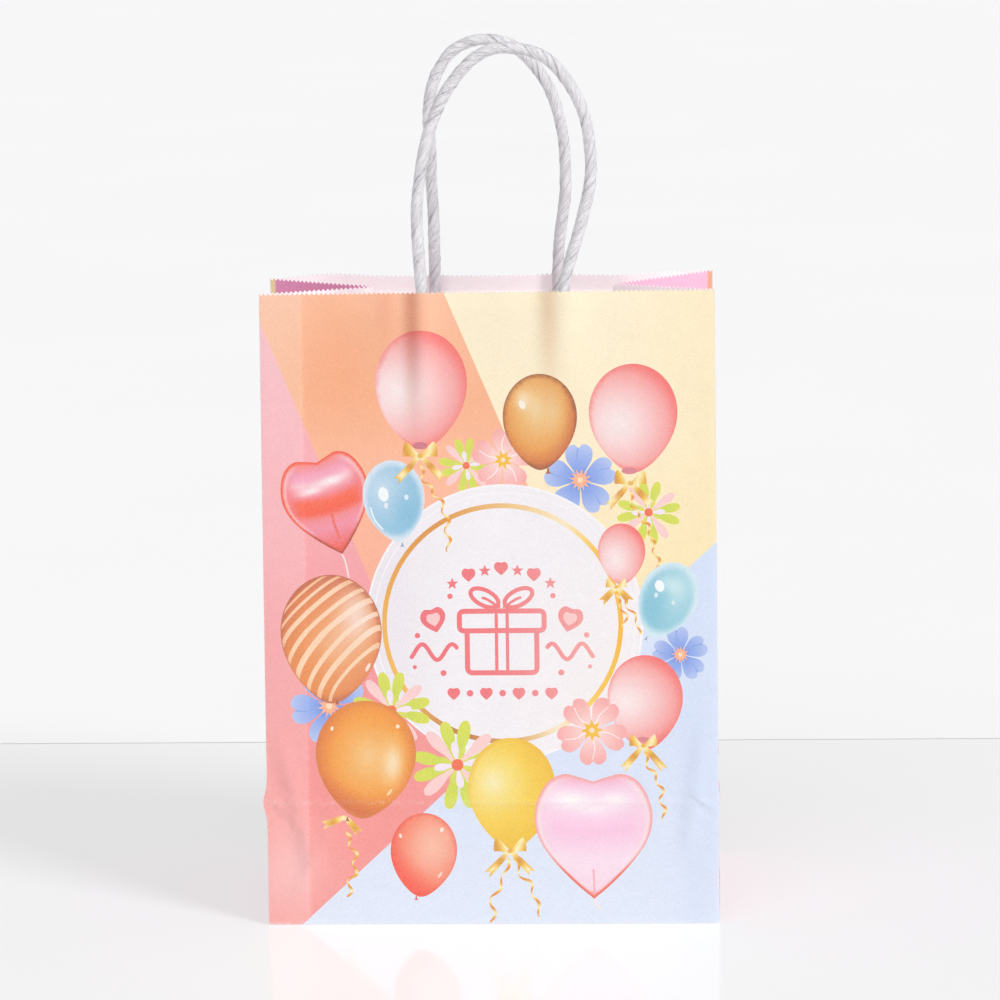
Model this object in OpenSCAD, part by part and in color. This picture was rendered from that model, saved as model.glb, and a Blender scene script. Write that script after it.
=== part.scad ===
// A small paper gift bag that stands open: a folded sheet with front and back panels, tucked side
// gussets, a glued seam and a folded base, and two twisted paper handles glued between patches.
// Millimetres. X is to the right, the front faces -Y, +Z is up, and the bag stands on z = 0.

/* [Bag] */
// Width of the front and back panels
bag_w = 150; // [130:1:220]
// Depth of the base, from front to back
bag_d = 80; // [60:1:110]
// Length of the panels, from the base to the mouth
bag_h = 210; // [180:1:320]
// Gap between the panels at the mouth, as the bag stands
mouth_gap = 36; // [24:1:50]
// Thickness of one layer of paper
paper_t = 0.3; // [0.2:0.05:0.4]

/* [Zigzag mouth edge] */
// Distance from tooth to tooth
tooth_pitch = 1.6; // [1:0.2:4]
// Height of a tooth
tooth_h = 0.8; // [0.4:0.1:1.5]

/* [Glue] */
// Width of the side seam's glued lap
lap_w = 14; // [8:1:25]
// How far the two base flaps overlap
flap_overlap = 28; // [10:1:40]

/* [Handle patches] */
// Width of the two patches that hold a handle
patch_w = 95; // [80:1:120]
// Height of a patch
patch_h = 42; // [30:1:60]
// Distance from the mouth down to a patch's top edge
patch_drop = 6; // [3:1:15]

/* [Handles] */
// Diameter of the twisted cord
cord_d = 4; // [3:0.5:5]
// Length of a handle's leg that is glued between the patches
leg_glued = 36; // [20:1:40]
// Height of the handle's bending point above the mouth
bend_rise = 1.6; // [1.2:0.2:3]

/* [Hidden] */

// Gap between papers that move against each other
clear = 0.4;
// Half of the base's depth and of the bag's width
half_d = bag_d / 2;
half_w = bag_w / 2;
// Angle by which each panel leans inwards
lean = asin((bag_d - mouth_gap) / 2 / bag_h);
// How far the gusset's middle crease is tucked in at the mouth
tuck = sqrt(half_d * half_d - mouth_gap * mouth_gap / 4);
// Depth below a panel's outer face at which the gusset's edge starts
gusset_inset = 3 * paper_t + clear;
// Inset that keeps the base flaps clear of the panels
base_inset = 2 * paper_t + clear / 2;
// Radius of the cord, its sides in the swept loop, and the gap round a leg in its patch
cord_r = cord_d / 2;
cord_sides = 10;
leg_clear = 0.1;
// Depth of the cord's middle below a panel's outer face
cord_depth = 2 * paper_t + cord_r;
// Where the loops bend: their distance from the middle plane, and their height
bend_y = half_d - (bag_h + bend_rise) * sin(lean) - cord_depth * cos(lean);
bend_z = (bag_h + bend_rise) * cos(lean) - cord_depth * sin(lean);
// Rows and columns of flat facets in a gusset half, and how far above the base its foot starts
gusset_rows = 12;
gusset_cols = 4;
gusset_foot_gap = 1.5;
// How far above the base the panels and the glued lap start
panel_foot = 0.1;
lap_foot = 2;
// Cut corners of the outer and the inner base flap
outer_cut = 12;
inner_cut = 16;
// Sides of the round shapes
round_sides = 48;

// The loops of the handles, as [x, height above the bending point]
FRONT_ROUTE = [
    [-21.1, 0], [-21.6, 9], [-22.1, 19], [-21.6, 30], [-20.1, 40], [-17.6, 50], [-14.1, 59],
    [-9.1, 67], [-3.1, 73.5], [3.9, 77], [10.9, 77.2], [17.9, 75.5], [23.9, 71.5], [29.4, 64],
    [33.4, 54.5], [34.9, 44.5], [34.9, 34.5], [32.9, 25], [30.4, 16], [27.9, 8], [25.9, 0]
];
BACK_ROUTE = [
    [-18.6, 0], [-18.6, 9], [-18.6, 19], [-19.1, 30], [-19.1, 41], [-19.6, 50.9], [-19.1, 58.6],
    [-17.6, 64.8], [-15.1, 69.9], [-10.6, 75.1], [-4.1, 78], [2.4, 78.2], [8.9, 76.1], [14.9, 71],
    [19.4, 64.8], [22.9, 57], [24.9, 48.3], [25.9, 39], [25.9, 29], [24.9, 19.5], [23.4, 9.5],
    [22.9, 0]
];

module printed() { color("lightsalmon") children(); }
module pink() { color("pink") children(); }
module plain() { color("whitesmoke") children(); }
module twisted() { color("lavender") children(); }

// A panel's own plane: X across, Y up the panel, and -Z from its outer face into the bag.
module on_front() {
    translate([0, -half_d, 0]) rotate([90 - lean, 0, 0]) children();
}
module on_back() { rotate([0, 0, 180]) on_front() children(); }

// A flat layer of paper whose outer face lies at a depth below the panel's outer face.
module layer(depth) {
    translate([0, 0, -depth - paper_t]) linear_extrude(paper_t) children();
}

// The zigzag edge from right to left, with a tooth's tip at both ends.
function zigzag(x0, x1, h) =
    let (n = 2 * round((x1 - x0) / tooth_pitch))
    [for (i = [0 : n]) [x1 - i * (x1 - x0) / n, h - (i % 2) * tooth_h]];

module toothed_sheet(x0, x1, foot, h) {
    polygon(concat([[x0, foot], [x1, foot]], zigzag(x0, x1, h)));
}

module panel() { layer(0) toothed_sheet(-half_w, half_w, panel_foot, bag_h); }
module front_panel() { printed() on_front() panel(); }
module back_panel() { printed() on_back() panel(); }
module glue_lap() {
    plain() on_front() layer(paper_t) toothed_sheet(-half_w, lap_w - half_w, lap_foot, bag_h);
}

// One gusset half, at the front of the right side: a sheet ruled between its edge along the panel
// and the tucked middle crease. The normals of its rows point into the bag.
function up_panel(u, depth) = [
    half_w,
    u * sin(lean) + depth * cos(lean) - half_d,
    u * cos(lean) - depth * sin(lean)
];
edge_foot = up_panel(gusset_foot_gap, gusset_inset);
edge_top = up_panel(bag_h, gusset_inset);
crease_foot = [half_w, -clear / 2, half_d + clear];
crease_top = [
    half_w - tuck,
    -clear / 2,
    half_d + sqrt(pow(bag_h - half_d, 2) - tuck * tuck)
];
function mix(a, b, k) = a + (b - a) * k;
function flat_unit(v) = v / norm(v);
function gusset_point(across, up) = mix(
    mix(edge_foot, crease_foot, across),
    mix(edge_top, crease_top, across),
    up
);
function gusset_normal(up) =
    let (run = gusset_point(1, up) - gusset_point(0, up))
    flat_unit([-run[1], run[0], 0]);
function gusset_side(offset) = [
    for (row = [0 : gusset_rows], col = [0 : gusset_cols])
        let (up = row / gusset_rows)
        gusset_point(col / gusset_cols, up) + offset * gusset_normal(up)
];

// Triangles that close a grid's outer and inner sides into one thin solid.
function grid_faces(rows, cols) =
    let (w = cols + 1, n = w * (rows + 1))
    concat(
        [for (r = [0 : rows - 1], c = [0 : cols - 1], half = [0, 1])
            let (a = r * w + c)
            half == 0 ? [a, a + w, a + 1] : [a + 1, a + w, a + w + 1]],
        [for (r = [0 : rows - 1], c = [0 : cols - 1], half = [0, 1])
            let (a = n + r * w + c)
            half == 0 ? [a, a + 1, a + w] : [a + 1, a + w + 1, a + w]],
        [for (c = [0 : cols - 1]) each strip(c, c + 1, n)],
        [for (c = [0 : cols - 1]) each strip(rows * w + c + 1, rows * w + c, n)],
        [for (r = [0 : rows - 1]) each strip((r + 1) * w, r * w, n)],
        [for (r = [0 : rows - 1]) each strip(r * w + cols, (r + 1) * w + cols, n)]
    );
function strip(a, b, n) = [[a, b, n + a], [b, n + b, n + a]];

module gusset_half() {
    polyhedron(
        concat(gusset_side(0), gusset_side(paper_t)),
        grid_faces(gusset_rows, gusset_cols)
    );
}
module right_gusset_front() { pink() gusset_half(); }
module right_gusset_back() { pink() mirror([0, 1, 0]) gusset_half(); }
module left_gusset_front() { pink() mirror([1, 0, 0]) gusset_half(); }
module left_gusset_back() { pink() mirror([1, 0, 0]) mirror([0, 1, 0]) gusset_half(); }

// The triangle at the foot of each side, below the diagonal creases.
module gusset_foot() {
    foot = half_d - base_inset - clear;
    translate([half_w - paper_t, 0, 3 * paper_t])
        rotate([90, 0, 90])
            linear_extrude(paper_t) polygon([[-foot, 0], [foot, 0], [0, foot]]);
}
module right_gusset_foot() { pink() gusset_foot(); }
module left_gusset_foot() { pink() mirror([1, 0, 0]) gusset_foot(); }

// The base: two flaps that overlap on the middle line, and a triangular tuck over them at each end.
module base_flap(level, cut) {
    y0 = -half_d + base_inset;
    y1 = flap_overlap / 2;
    x0 = half_w - paper_t;
    translate([0, 0, level * paper_t])
        linear_extrude(paper_t)
            polygon([
                [-x0, y0], [x0, y0], [x0, y1 - cut],
                [x0 - cut, y1], [cut - x0, y1], [-x0, y1 - cut]
            ]);
}
module base_outer_flap() { printed() base_flap(0, outer_cut); }
module base_inner_flap() { plain() rotate([0, 0, 180]) base_flap(1, inner_cut); }
module base_tuck() {
    edge = half_d - base_inset;
    x0 = half_w - paper_t;
    translate([0, 0, 2 * paper_t])
        linear_extrude(paper_t) polygon([[x0, -edge], [x0, edge], [x0 - edge, 0]]);
}
module base_right_tuck() { plain() base_tuck(); }
module base_left_tuck() { plain() mirror([1, 0, 0]) base_tuck(); }

// The patches: a flat one on the panel, and one over it that arches across both legs.
patch_top = bag_h - patch_drop;
module patch_outer() {
    layer(paper_t) translate([-patch_w / 2, patch_top - patch_h]) square([patch_w, patch_h]);
}
module arch(r) {
    intersection() {
        circle(r, $fn = round_sides);
        translate([-r, -r]) square([2 * r, r]);
    }
    translate([-r, 0]) square([2 * r, cord_r]);
}
module patch_inner(legs) {
    translate([0, patch_top, 0])
        rotate([90, 0, 0])
            linear_extrude(patch_h)
                difference() {
                    union() {
                        translate([-patch_w / 2, -3 * paper_t]) square([patch_w, paper_t]);
                        for (x = legs)
                            translate([x, -cord_depth]) arch(cord_r + leg_clear + paper_t);
                    }
                    for (x = legs)
                        translate([x, -cord_depth]) arch(cord_r + leg_clear);
                }
}
function leg_places(route) = [route[0][0], route[len(route) - 1][0]];
function turned(places) = [for (x = places) -x];
module front_patch_outer() { plain() on_front() patch_outer(); }
module back_patch_outer() { plain() on_back() patch_outer(); }
module front_patch_inner() { plain() on_front() patch_inner(leg_places(FRONT_ROUTE)); }
module back_patch_inner() { plain() on_back() patch_inner(turned(leg_places(BACK_ROUTE))); }

// The legs: straight cord from inside the patches to just under the bending point.
module legs(places) {
    top = bag_h + bend_rise - cord_r - clear / 2;
    foot = patch_top - leg_glued;
    for (x = places)
        translate([x, top, -cord_depth]) rotate([90, 0, 0]) cylinder(h = top - foot, r = cord_r, $fn = round_sides);
}
module front_handle_legs() { twisted() on_front() legs(leg_places(FRONT_ROUTE)); }
module back_handle_legs() { twisted() on_back() legs(turned(leg_places(BACK_ROUTE))); }

// A loop: rings swept along the route in an upright plane, with round ends at the bending point.
function heading(route, i) =
    let (last = len(route) - 1)
    i == 0 ? [0, 1] : i == last ? [0, -1] : flat_unit(route[i + 1] - route[i - 1]);
function ring(centre, along, r, y) = [
    for (k = [0 : cord_sides - 1])
        let (a = k * 360 / cord_sides)
        [centre[0] + r * cos(a) * along[1], y + r * sin(a), bend_z + centre[1] - r * cos(a) * along[0]]
];
cap_angles = [75, 50, 25];
function loop_rings(route, y) = let (last = len(route) - 1) concat(
    [for (a = cap_angles) ring(route[0] - [0, cord_r * sin(a)], [0, 1], cord_r * cos(a), y)],
    [for (i = [0 : last]) ring(route[i], heading(route, i), cord_r, y)],
    [for (i = [len(cap_angles) - 1 : -1 : 0])
        let (a = cap_angles[i])
        ring(route[last] - [0, cord_r * sin(a)], [0, -1], cord_r * cos(a), y)]
);
module handle_loop(route, y) {
    rings = loop_rings(route, y);
    n = cord_sides;
    last = len(rings) - 1;
    polyhedron(
        [for (one = rings) each one],
        concat(
            [[for (k = [0 : n - 1]) k]],
            [for (i = [0 : last - 1], k = [0 : n - 1], half = [0, 1])
                let (a = i * n + k, b = i * n + (k + 1) % n)
                half == 0 ? [a, a + n, b] : [b, a + n, b + n]],
            [[for (k = [n - 1 : -1 : 0]) last * n + k]]
        )
    );
}
module front_handle() { twisted() handle_loop(FRONT_ROUTE, -bend_y); }
module back_handle() { twisted() handle_loop(BACK_ROUTE, bend_y); }

front_panel();
back_panel();
glue_lap();
left_gusset_front();
left_gusset_back();
right_gusset_front();
right_gusset_back();
left_gusset_foot();
right_gusset_foot();
base_outer_flap();
base_inner_flap();
base_left_tuck();
base_right_tuck();
front_patch_outer();
front_patch_inner();
back_patch_outer();
back_patch_inner();
front_handle();
back_handle();
front_handle_legs();
back_handle_legs();
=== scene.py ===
# A small paper gift bag: printed panels, tucked gussets, a folded base and two twisted paper handles.
# Design sizes are in millimetres on a panel's own plane: x across, as seen from outside, u up the
# panel from the base, and depth from its outer face into the bag. MM turns them into metres.
import math
import random

import bpy
import numpy as np
from mathutils import Matrix, Vector
from mathutils.geometry import delaunay_2d_cdt


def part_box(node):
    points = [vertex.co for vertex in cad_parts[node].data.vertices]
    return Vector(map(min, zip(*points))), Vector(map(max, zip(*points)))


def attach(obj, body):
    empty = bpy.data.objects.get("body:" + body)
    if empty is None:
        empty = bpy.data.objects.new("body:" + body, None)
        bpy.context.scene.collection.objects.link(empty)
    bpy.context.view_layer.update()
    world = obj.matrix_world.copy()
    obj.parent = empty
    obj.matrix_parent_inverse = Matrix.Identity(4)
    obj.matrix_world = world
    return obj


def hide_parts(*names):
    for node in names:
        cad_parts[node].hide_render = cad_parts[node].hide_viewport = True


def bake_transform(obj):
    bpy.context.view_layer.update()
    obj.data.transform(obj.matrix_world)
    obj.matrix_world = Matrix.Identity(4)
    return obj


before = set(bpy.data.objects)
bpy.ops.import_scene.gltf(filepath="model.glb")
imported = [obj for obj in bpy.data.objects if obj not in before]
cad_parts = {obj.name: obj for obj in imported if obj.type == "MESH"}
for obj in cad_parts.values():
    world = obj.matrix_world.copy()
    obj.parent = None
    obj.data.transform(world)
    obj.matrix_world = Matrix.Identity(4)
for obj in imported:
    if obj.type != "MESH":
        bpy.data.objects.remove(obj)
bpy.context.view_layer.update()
MM = 0.001
random.seed(7)

# ---------------------------------------------------------------- measures taken from the frame
PAPER = 0.3
PANEL_LOW, PANEL_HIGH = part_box("front_panel")
HALF_W = PANEL_HIGH[0] / MM
HALF_D = -PANEL_LOW[1] / MM
RUN_IN = (PANEL_HIGH[1] - PANEL_LOW[1]) / MM - PAPER
LEAN = math.atan2(RUN_IN, PANEL_HIGH[2] / MM)
SIN, COS = math.sin(LEAN), math.cos(LEAN)
BAG_H = PANEL_HIGH[2] / MM / COS
LOOP_LOW, LOOP_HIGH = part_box("front_handle")
BEND_Y = -(LOOP_LOW[1] + LOOP_HIGH[1]) / 2 / MM
CORD_R = (LOOP_HIGH[1] - LOOP_LOW[1]) / 2 / MM
BEND_RISE = 1.6
CORD_DEPTH = 2 * PAPER + CORD_R
BEND_Z = (BAG_H + BEND_RISE) * COS - CORD_DEPTH * SIN
TOOTH_PITCH = 1.6
TOOTH_H = 0.8
FOLD_U = HALF_D + 0.8
BASE_MARK_U = 80.3
LAP_X = -61.1
LAP_STEP = 0.25
GLUE_GAP = 0.02
EDGE_DEPTH = 0.1
GUSSET_COLUMNS = 50
CORD_SIDES = 36
TWIST_PITCH = 18.0
BARE_PAPER = "F6F1F0"

# How far each panel stands out of its flat plane at the left and the right end of the mouth
MOUTH_SHIFT = {"front": (-6.5, 0.0), "back": (3.0, 7.6)}

# Where each handle leg pushes the panel out: place, width, height and foot
LEG_RIDGES = {
    "front": ((-21.0, 4.4, 2.9, 156), (25.6, 6.6, 3.0, 168), (-33.5, 5.0, 0.9, 172), (8.0, 6.0, 0.8, 182)),
    "back": ((18.6, 5.0, 1.5, 160), (-22.9, 6.0, 1.5, 160))}

# Small creases in the paper: start, end, height and, for a soft one, its width
WRINKLES = {
    "front": (((58.6, 45.4), (63.2, 44.4), 0.35), ((66.0, 43.6), (74.0, 37.5), 0.5),
              ((63.5, 38.0), (73.0, 33.5), 0.3), ((-74.5, 44.0), (-62.0, 30.0), 0.5),
              ((-73.0, 50.0), (-58.0, 41.5), 0.35), ((-60.0, 36.0), (-66.0, 22.0), 0.3),
              ((-71.0, 66.0), (-58.0, 12.0), 0.8, 2.8), ((-50.0, 40.0), (-68.0, 6.0), 0.6, 2.4),
              ((71.0, 70.0), (64.0, 20.0), 0.6, 2.6)),
    "back": (((-73.5, 39.0), (-60.0, 47.0), 0.45), ((52.0, 36.0), (73.0, 42.0), 0.4),
             ((20.0, 150.0), (38.0, 168.0), 0.25))}

# The handles' loops, as (x, height above the bending point)
FRONT_ROUTE = [
    (-21.1, 0), (-21.6, 9), (-22.1, 19), (-21.6, 30), (-20.1, 40), (-17.6, 50), (-14.1, 59),
    (-9.1, 67), (-3.1, 73.5), (3.9, 77), (10.9, 77.2), (17.9, 75.5), (23.9, 71.5), (29.4, 64),
    (33.4, 54.5), (34.9, 44.5), (34.9, 34.5), (32.9, 25), (30.4, 16), (27.9, 8), (25.9, 0)]
BACK_ROUTE = [
    (-18.6, 0), (-18.6, 9), (-18.6, 19), (-19.1, 30), (-19.1, 41), (-19.6, 50.9), (-19.1, 58.6),
    (-17.6, 64.8), (-15.1, 69.9), (-10.6, 75.1), (-4.1, 78), (2.4, 78.2), (8.9, 76.1), (14.9, 71),
    (19.4, 64.8), (22.9, 57), (24.9, 48.3), (25.9, 39), (25.9, 29), (24.9, 19.5), (23.4, 9.5),
    (22.9, 0)]
LEG_US = (168.0, 176, 184, 192, 200, 206.0)
PATCH_LOW_U, PATCH_TOP_U, PATCH_HALF = 162.0, 204.0, 47.5


# ---------------------------------------------------------------- camera
def add_camera():
    distance, azimuth, elevation, roll = 1.100, -2.82, 11.19, -1.06
    target = Vector((0.0028, 0.0, 0.1357))
    az, el, ro = (math.radians(a) for a in (azimuth, elevation, roll))
    ahead = Vector((math.sin(az) * math.cos(el), math.cos(az) * math.cos(el), -math.sin(el)))
    right = Vector((math.cos(az), -math.sin(az), 0))
    up = right.cross(ahead)
    right, up = right * math.cos(ro) + up * math.sin(ro), up * math.cos(ro) - right * math.sin(ro)
    data = bpy.data.cameras.new("camera")
    data.lens = 117.7
    data.sensor_width = 36
    camera = bpy.data.objects.new("camera", data)
    turn = Matrix((right, up, -ahead)).transposed().to_4x4()
    camera.matrix_world = Matrix.Translation(target - ahead * distance) @ turn
    bpy.context.scene.collection.objects.link(camera)
    bpy.context.scene.camera = camera


add_camera()


# ---------------------------------------------------------------- small helpers
def gauss(value, middle, width):
    return np.exp(-((value - middle) / width) ** 2)


def ease(value, low, high):
    t = np.clip((value - low) / (high - low), 0, 1)
    return t * t * (3 - 2 * t)


def rgb(code):
    return np.array([int(code[i:i + 2], 16) / 255 for i in (0, 2, 4)])


def linear(colour):
    colour = np.clip(colour, 0, 1)
    return np.where(colour <= 0.04045, colour / 12.92, ((colour + 0.055) / 1.055) ** 2.4)


def ramp(t, *stops):
    places = [s[0] for s in stops]
    colours = np.array([rgb(s[1]) for s in stops])
    return np.stack([np.interp(t, places, colours[:, k]) for k in range(3)], axis=-1)


def blend_to(colours, code, amount):
    return colours + (rgb(code) - colours) * np.clip(amount, 0, 1)[:, None]


def smooth_line(points, spacing, closed=False):
    """A Catmull-Rom curve through the points, with a point about every spacing."""
    pts = [np.array(p, float) for p in points]
    n = len(pts)
    out = []
    for i in range(n if closed else n - 1):
        a = pts[i - 1] if closed or i > 0 else 2 * pts[0] - pts[1]
        b = pts[i]
        c = pts[(i + 1) % n]
        d = pts[(i + 2) % n] if closed or i + 2 < n else 2 * pts[-1] - pts[-2]
        steps = max(1, int(round(np.linalg.norm(c - b) / spacing)))
        for k in range(steps):
            t = k / steps
            out.append(0.5 * (2 * b + (c - a) * t + (2 * a - 5 * b + 4 * c - d) * t ** 2
                              + (3 * b - a - 3 * c + d) * t ** 3))
    if not closed:
        out.append(pts[-1])
    return np.array(out)


def headings(line):
    """The unit direction of a line at each of its points."""
    steps = np.gradient(line, axis=0)
    return steps / np.linalg.norm(steps, axis=1)[:, None]


def leftward(directions):
    """Flat directions turned a quarter to the left."""
    return np.stack([-directions[:, 1], directions[:, 0]], axis=-1)


def run_along(line):
    """The length of a line up to each of its points."""
    return np.concatenate([[0], np.cumsum(np.linalg.norm(np.diff(line, axis=0), axis=1))])


# ---------------------------------------------------------------- the panels' surface
def world_side(face):
    return 1 if face == "front" else -1


def skew(face, x, u):
    """How far the panel as a whole stands out of its flat plane, growing towards the mouth."""
    left, right = MOUTH_SHIFT[face]
    share = world_side(face) * x / (2 * HALF_W) + 0.5
    if face == "back":
        return (u / BAG_H) * (left * (1 - ease(share, 0, 0.35)) + right * ease(share, 0.8, 1))
    return (u / BAG_H) * (left + (right - left) * share)


def relief(face, x, u):
    """How far the paper stands out of the panel's skewed plane."""
    out = 0.25 * np.sin(x / 11.0 + 0.6 * np.sin(u / 34.0)) * np.sin(u / 27.0 + 0.7) * ease(u, 4, 40)
    out += 0.12 * np.sin(x / 5.3 + u / 17.0 + 1.1) * np.sin(u / 9.7 - x / 23.0) * ease(u, 4, 30)
    out += 0.32 * gauss(u, FOLD_U, 0.9) * (0.6 + 0.4 * np.sin(x / 19.0 + 1.0)) - 0.25 * gauss(u, 36.5, 3.0)
    out += 0.22 * gauss(u, BASE_MARK_U, 0.8) * ease(x, -20, 40)
    out -= 0.15 * ease(np.abs(x), HALF_W - 1.3, HALF_W) ** 2
    for place, width, height, foot in LEG_RIDGES[face]:
        out += height * gauss(x, place, width) * ease(u, foot, foot + 48)
    for crease in WRINKLES[face]:
        out += wrinkle(x, u, *crease)
    if face == "front":
        out += LAP_STEP * (1 - ease(x, LAP_X - 0.2, LAP_X + 0.2))
    else:
        bulge = 3.8 * gauss(x, 57, 15) * (1 - ease(x, 62, 75)) - 2.0 * gauss(x, -46, 10)
        out += bulge * ease(u, 80, 215)
    return out


def mouth_rise(face, x, u):
    """The back panel's top edge is cut a little high between its corners."""
    return (face == "back") * (1 - ease(np.abs(x), 50, 72)) * ease(u, 120, 215)


def wrinkle(x, u, start, end, height, width=0.8):
    """A short ridge from start to end, sharp unless it is given a width."""
    start, end = np.array(start), np.array(end)
    along = end - start
    length = np.linalg.norm(along)
    along = along / length
    run = (x - start[0]) * along[0] + (u - start[1]) * along[1]
    off = (x - start[0]) * -along[1] + (u - start[1]) * along[0]
    ends = ease(run, -2, length * 0.3) * (1 - ease(run, length * 0.7, length + 2))
    return height * ends * (gauss(off, 0, width) - 0.5 * gauss(off, -2 * width, 1.5 * width))


def ear(x, u):
    """The side folds pop outwards where the crease above the base crosses them."""
    reach = np.where(x < 0, 1.3, 0.5)
    return np.sign(x) * ease(np.abs(x), 62, HALF_W) * reach * gauss(u, FOLD_U, 4.0)


def on_panel(face, x, u, depth, rough=1.0):
    """World points in metres of a place on a panel."""
    x, u, depth = np.broadcast_arrays(*(np.asarray(value, float) for value in (x, u, depth)))
    s = world_side(face)
    out = skew(face, x, u) + rough * relief(face, x, u) - depth
    u = u + rough * mouth_rise(face, x, u)
    points = np.stack([
        s * (x + rough * ear(x, u)),
        s * (-HALF_D + u * SIN - out * COS),
        u * COS + out * SIN], axis=-1)
    return points * MM


# ---------------------------------------------------------------- meshes
def add_object(name, verts, faces, materials, face_materials=None, sharp=40):
    mesh = bpy.data.meshes.new(name)
    mesh.from_pydata([tuple(v) for v in verts], [], [tuple(f) for f in faces])
    mesh.polygons.foreach_set("use_smooth", [True] * len(faces))
    if face_materials is not None:
        mesh.polygons.foreach_set("material_index", face_materials)
    mesh.set_sharp_from_angle(angle=math.radians(sharp))
    for material in materials:
        mesh.materials.append(material)
    obj = bpy.data.objects.new(name, mesh)
    bpy.context.scene.collection.objects.link(obj)
    return obj


def set_colours(obj, colours):
    """One sRGB colour for each corner, in the order of the mesh's corners: the print with the shade and
    light painted into it.
    """
    layer = obj.data.color_attributes.new("PrintAndPaintedShading", "FLOAT_COLOR", "CORNER")
    data = np.ones((len(obj.data.loops), 4))
    data[:, :3] = linear(colours)
    layer.data.foreach_set("color", data.ravel())


def set_values(obj, name, values):
    layer = obj.data.attributes.new(name, "FLOAT", "POINT")
    layer.data.foreach_set("value", np.asarray(values, float))


def sheet_grid(name, outer, inner, materials, sharp=40):
    """A closed thin sheet from two grids of points: outer[row, col] and inner[row, col]."""
    rows, cols = outer.shape[:2]
    n = rows * cols
    verts = np.concatenate([outer.reshape(n, 3), inner.reshape(n, 3)])
    faces, kinds = [], []
    for r in range(rows - 1):
        for c in range(cols - 1):
            a = r * cols + c
            quad = (a, a + 1, a + cols + 1, a + cols)
            faces.append(quad)
            kinds.append(0)
            faces.append(tuple(n + k for k in reversed(quad)))
            kinds.append(1)
    rim = [(0, c) for c in range(cols - 1)] + [(r, cols - 1) for r in range(rows - 1)]
    rim += [(rows - 1, c) for c in range(cols - 1, 0, -1)] + [(r, 0) for r in range(rows - 1, 0, -1)]
    ids = [r * cols + c for r, c in rim]
    faces += [(b, a, n + a, n + b) for a, b in zip(ids, ids[1:] + ids[:1])]
    kinds += [1] * len(ids)
    return add_object(name, verts, faces, materials, kinds, sharp=sharp)


# ---------------------------------------------------------------- artwork: outlines
def polygon_line(points, spacing=0.6):
    """A closed outline with straight sides, divided about every spacing."""
    out = []
    for a, b in zip(points, points[1:] + points[:1]):
        a, b = np.array(a, float), np.array(b, float)
        steps = max(1, int(np.linalg.norm(b - a) / spacing))
        out += [a + (b - a) * k / steps for k in range(steps)]
    return np.array(out)


def ellipse(cx, cy, rx, ry, tilt=0.0, spacing=0.6):
    n = max(12, int(2 * math.pi * max(rx, ry) / spacing))
    t = np.arange(n) * 2 * math.pi / n
    return turned(np.stack([rx * np.cos(t), ry * np.sin(t)], axis=-1), tilt) + (cx, cy)


def turned(points, degrees):
    """Points turned anticlockwise about the origin."""
    a = math.radians(degrees)
    c, s = math.cos(a), math.sin(a)
    points = np.asarray(points, float)
    return np.stack([points[:, 0] * c - points[:, 1] * s, points[:, 0] * s + points[:, 1] * c], axis=-1)


def line_shape(points, widths, ends=True):
    """The outline of a line with a width at each of its points."""
    points = np.asarray(points, float)
    widths = np.broadcast_to(widths, len(points)).astype(float)
    heading = headings(points)
    normal = leftward(heading)
    left = points + normal * widths[:, None] / 2
    right = points - normal * widths[:, None] / 2
    if not ends:
        return np.concatenate([right, left[::-1]])
    caps = []
    for k, sign in ((-1, 1), (0, -1)):
        base = math.atan2(*(sign * heading[k])[::-1])
        angles = base + np.radians([-60, -30, 0, 30, 60])
        caps.append(points[k] + widths[k] / 2 * np.stack([np.cos(angles), np.sin(angles)], axis=-1))
    return np.concatenate([right, caps[0], left[::-1], caps[1]])


def facing_up(outline):
    """The outline turned anticlockwise."""
    outline = np.asarray(outline, float)
    following = np.roll(outline, -1, axis=0)
    area = np.sum(outline[:, 0] * following[:, 1] - outline[:, 1] * following[:, 0])
    return outline if area > 0 else outline[::-1]


class Artwork:
    """Shapes in painter's order. Each is an outline and a function from places to colours."""

    def __init__(self):
        self.shapes = []

    def add(self, outline, paint):
        outline = facing_up(outline)
        if isinstance(paint, str):
            code = paint
            self.shapes.append((outline, lambda x, y: np.tile(rgb(code), (len(x), 1))))
        else:
            self.shapes.append((outline, paint))


art = Artwork()


def balloon_map(p, q, cx, cy, w, h, tilt):
    """A place in a unit circle, mapped onto a balloon whose foot is narrow."""
    low = np.clip(-q, 0, 1)
    x = p * w / 2 * (1 - 0.21 * low ** 2)
    y = np.where(q > 0, q * 0.45, q * 0.55) * h + 0.05 * h - 0.02 * h * low ** 10
    return turned(np.stack([x, y], axis=-1), tilt) + (cx, cy)


def balloon_outline(*place):
    t = np.arange(int(place[3] * 5)) * 2 * math.pi / int(place[3] * 5)
    return balloon_map(np.cos(t), np.sin(t), *place)


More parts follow.
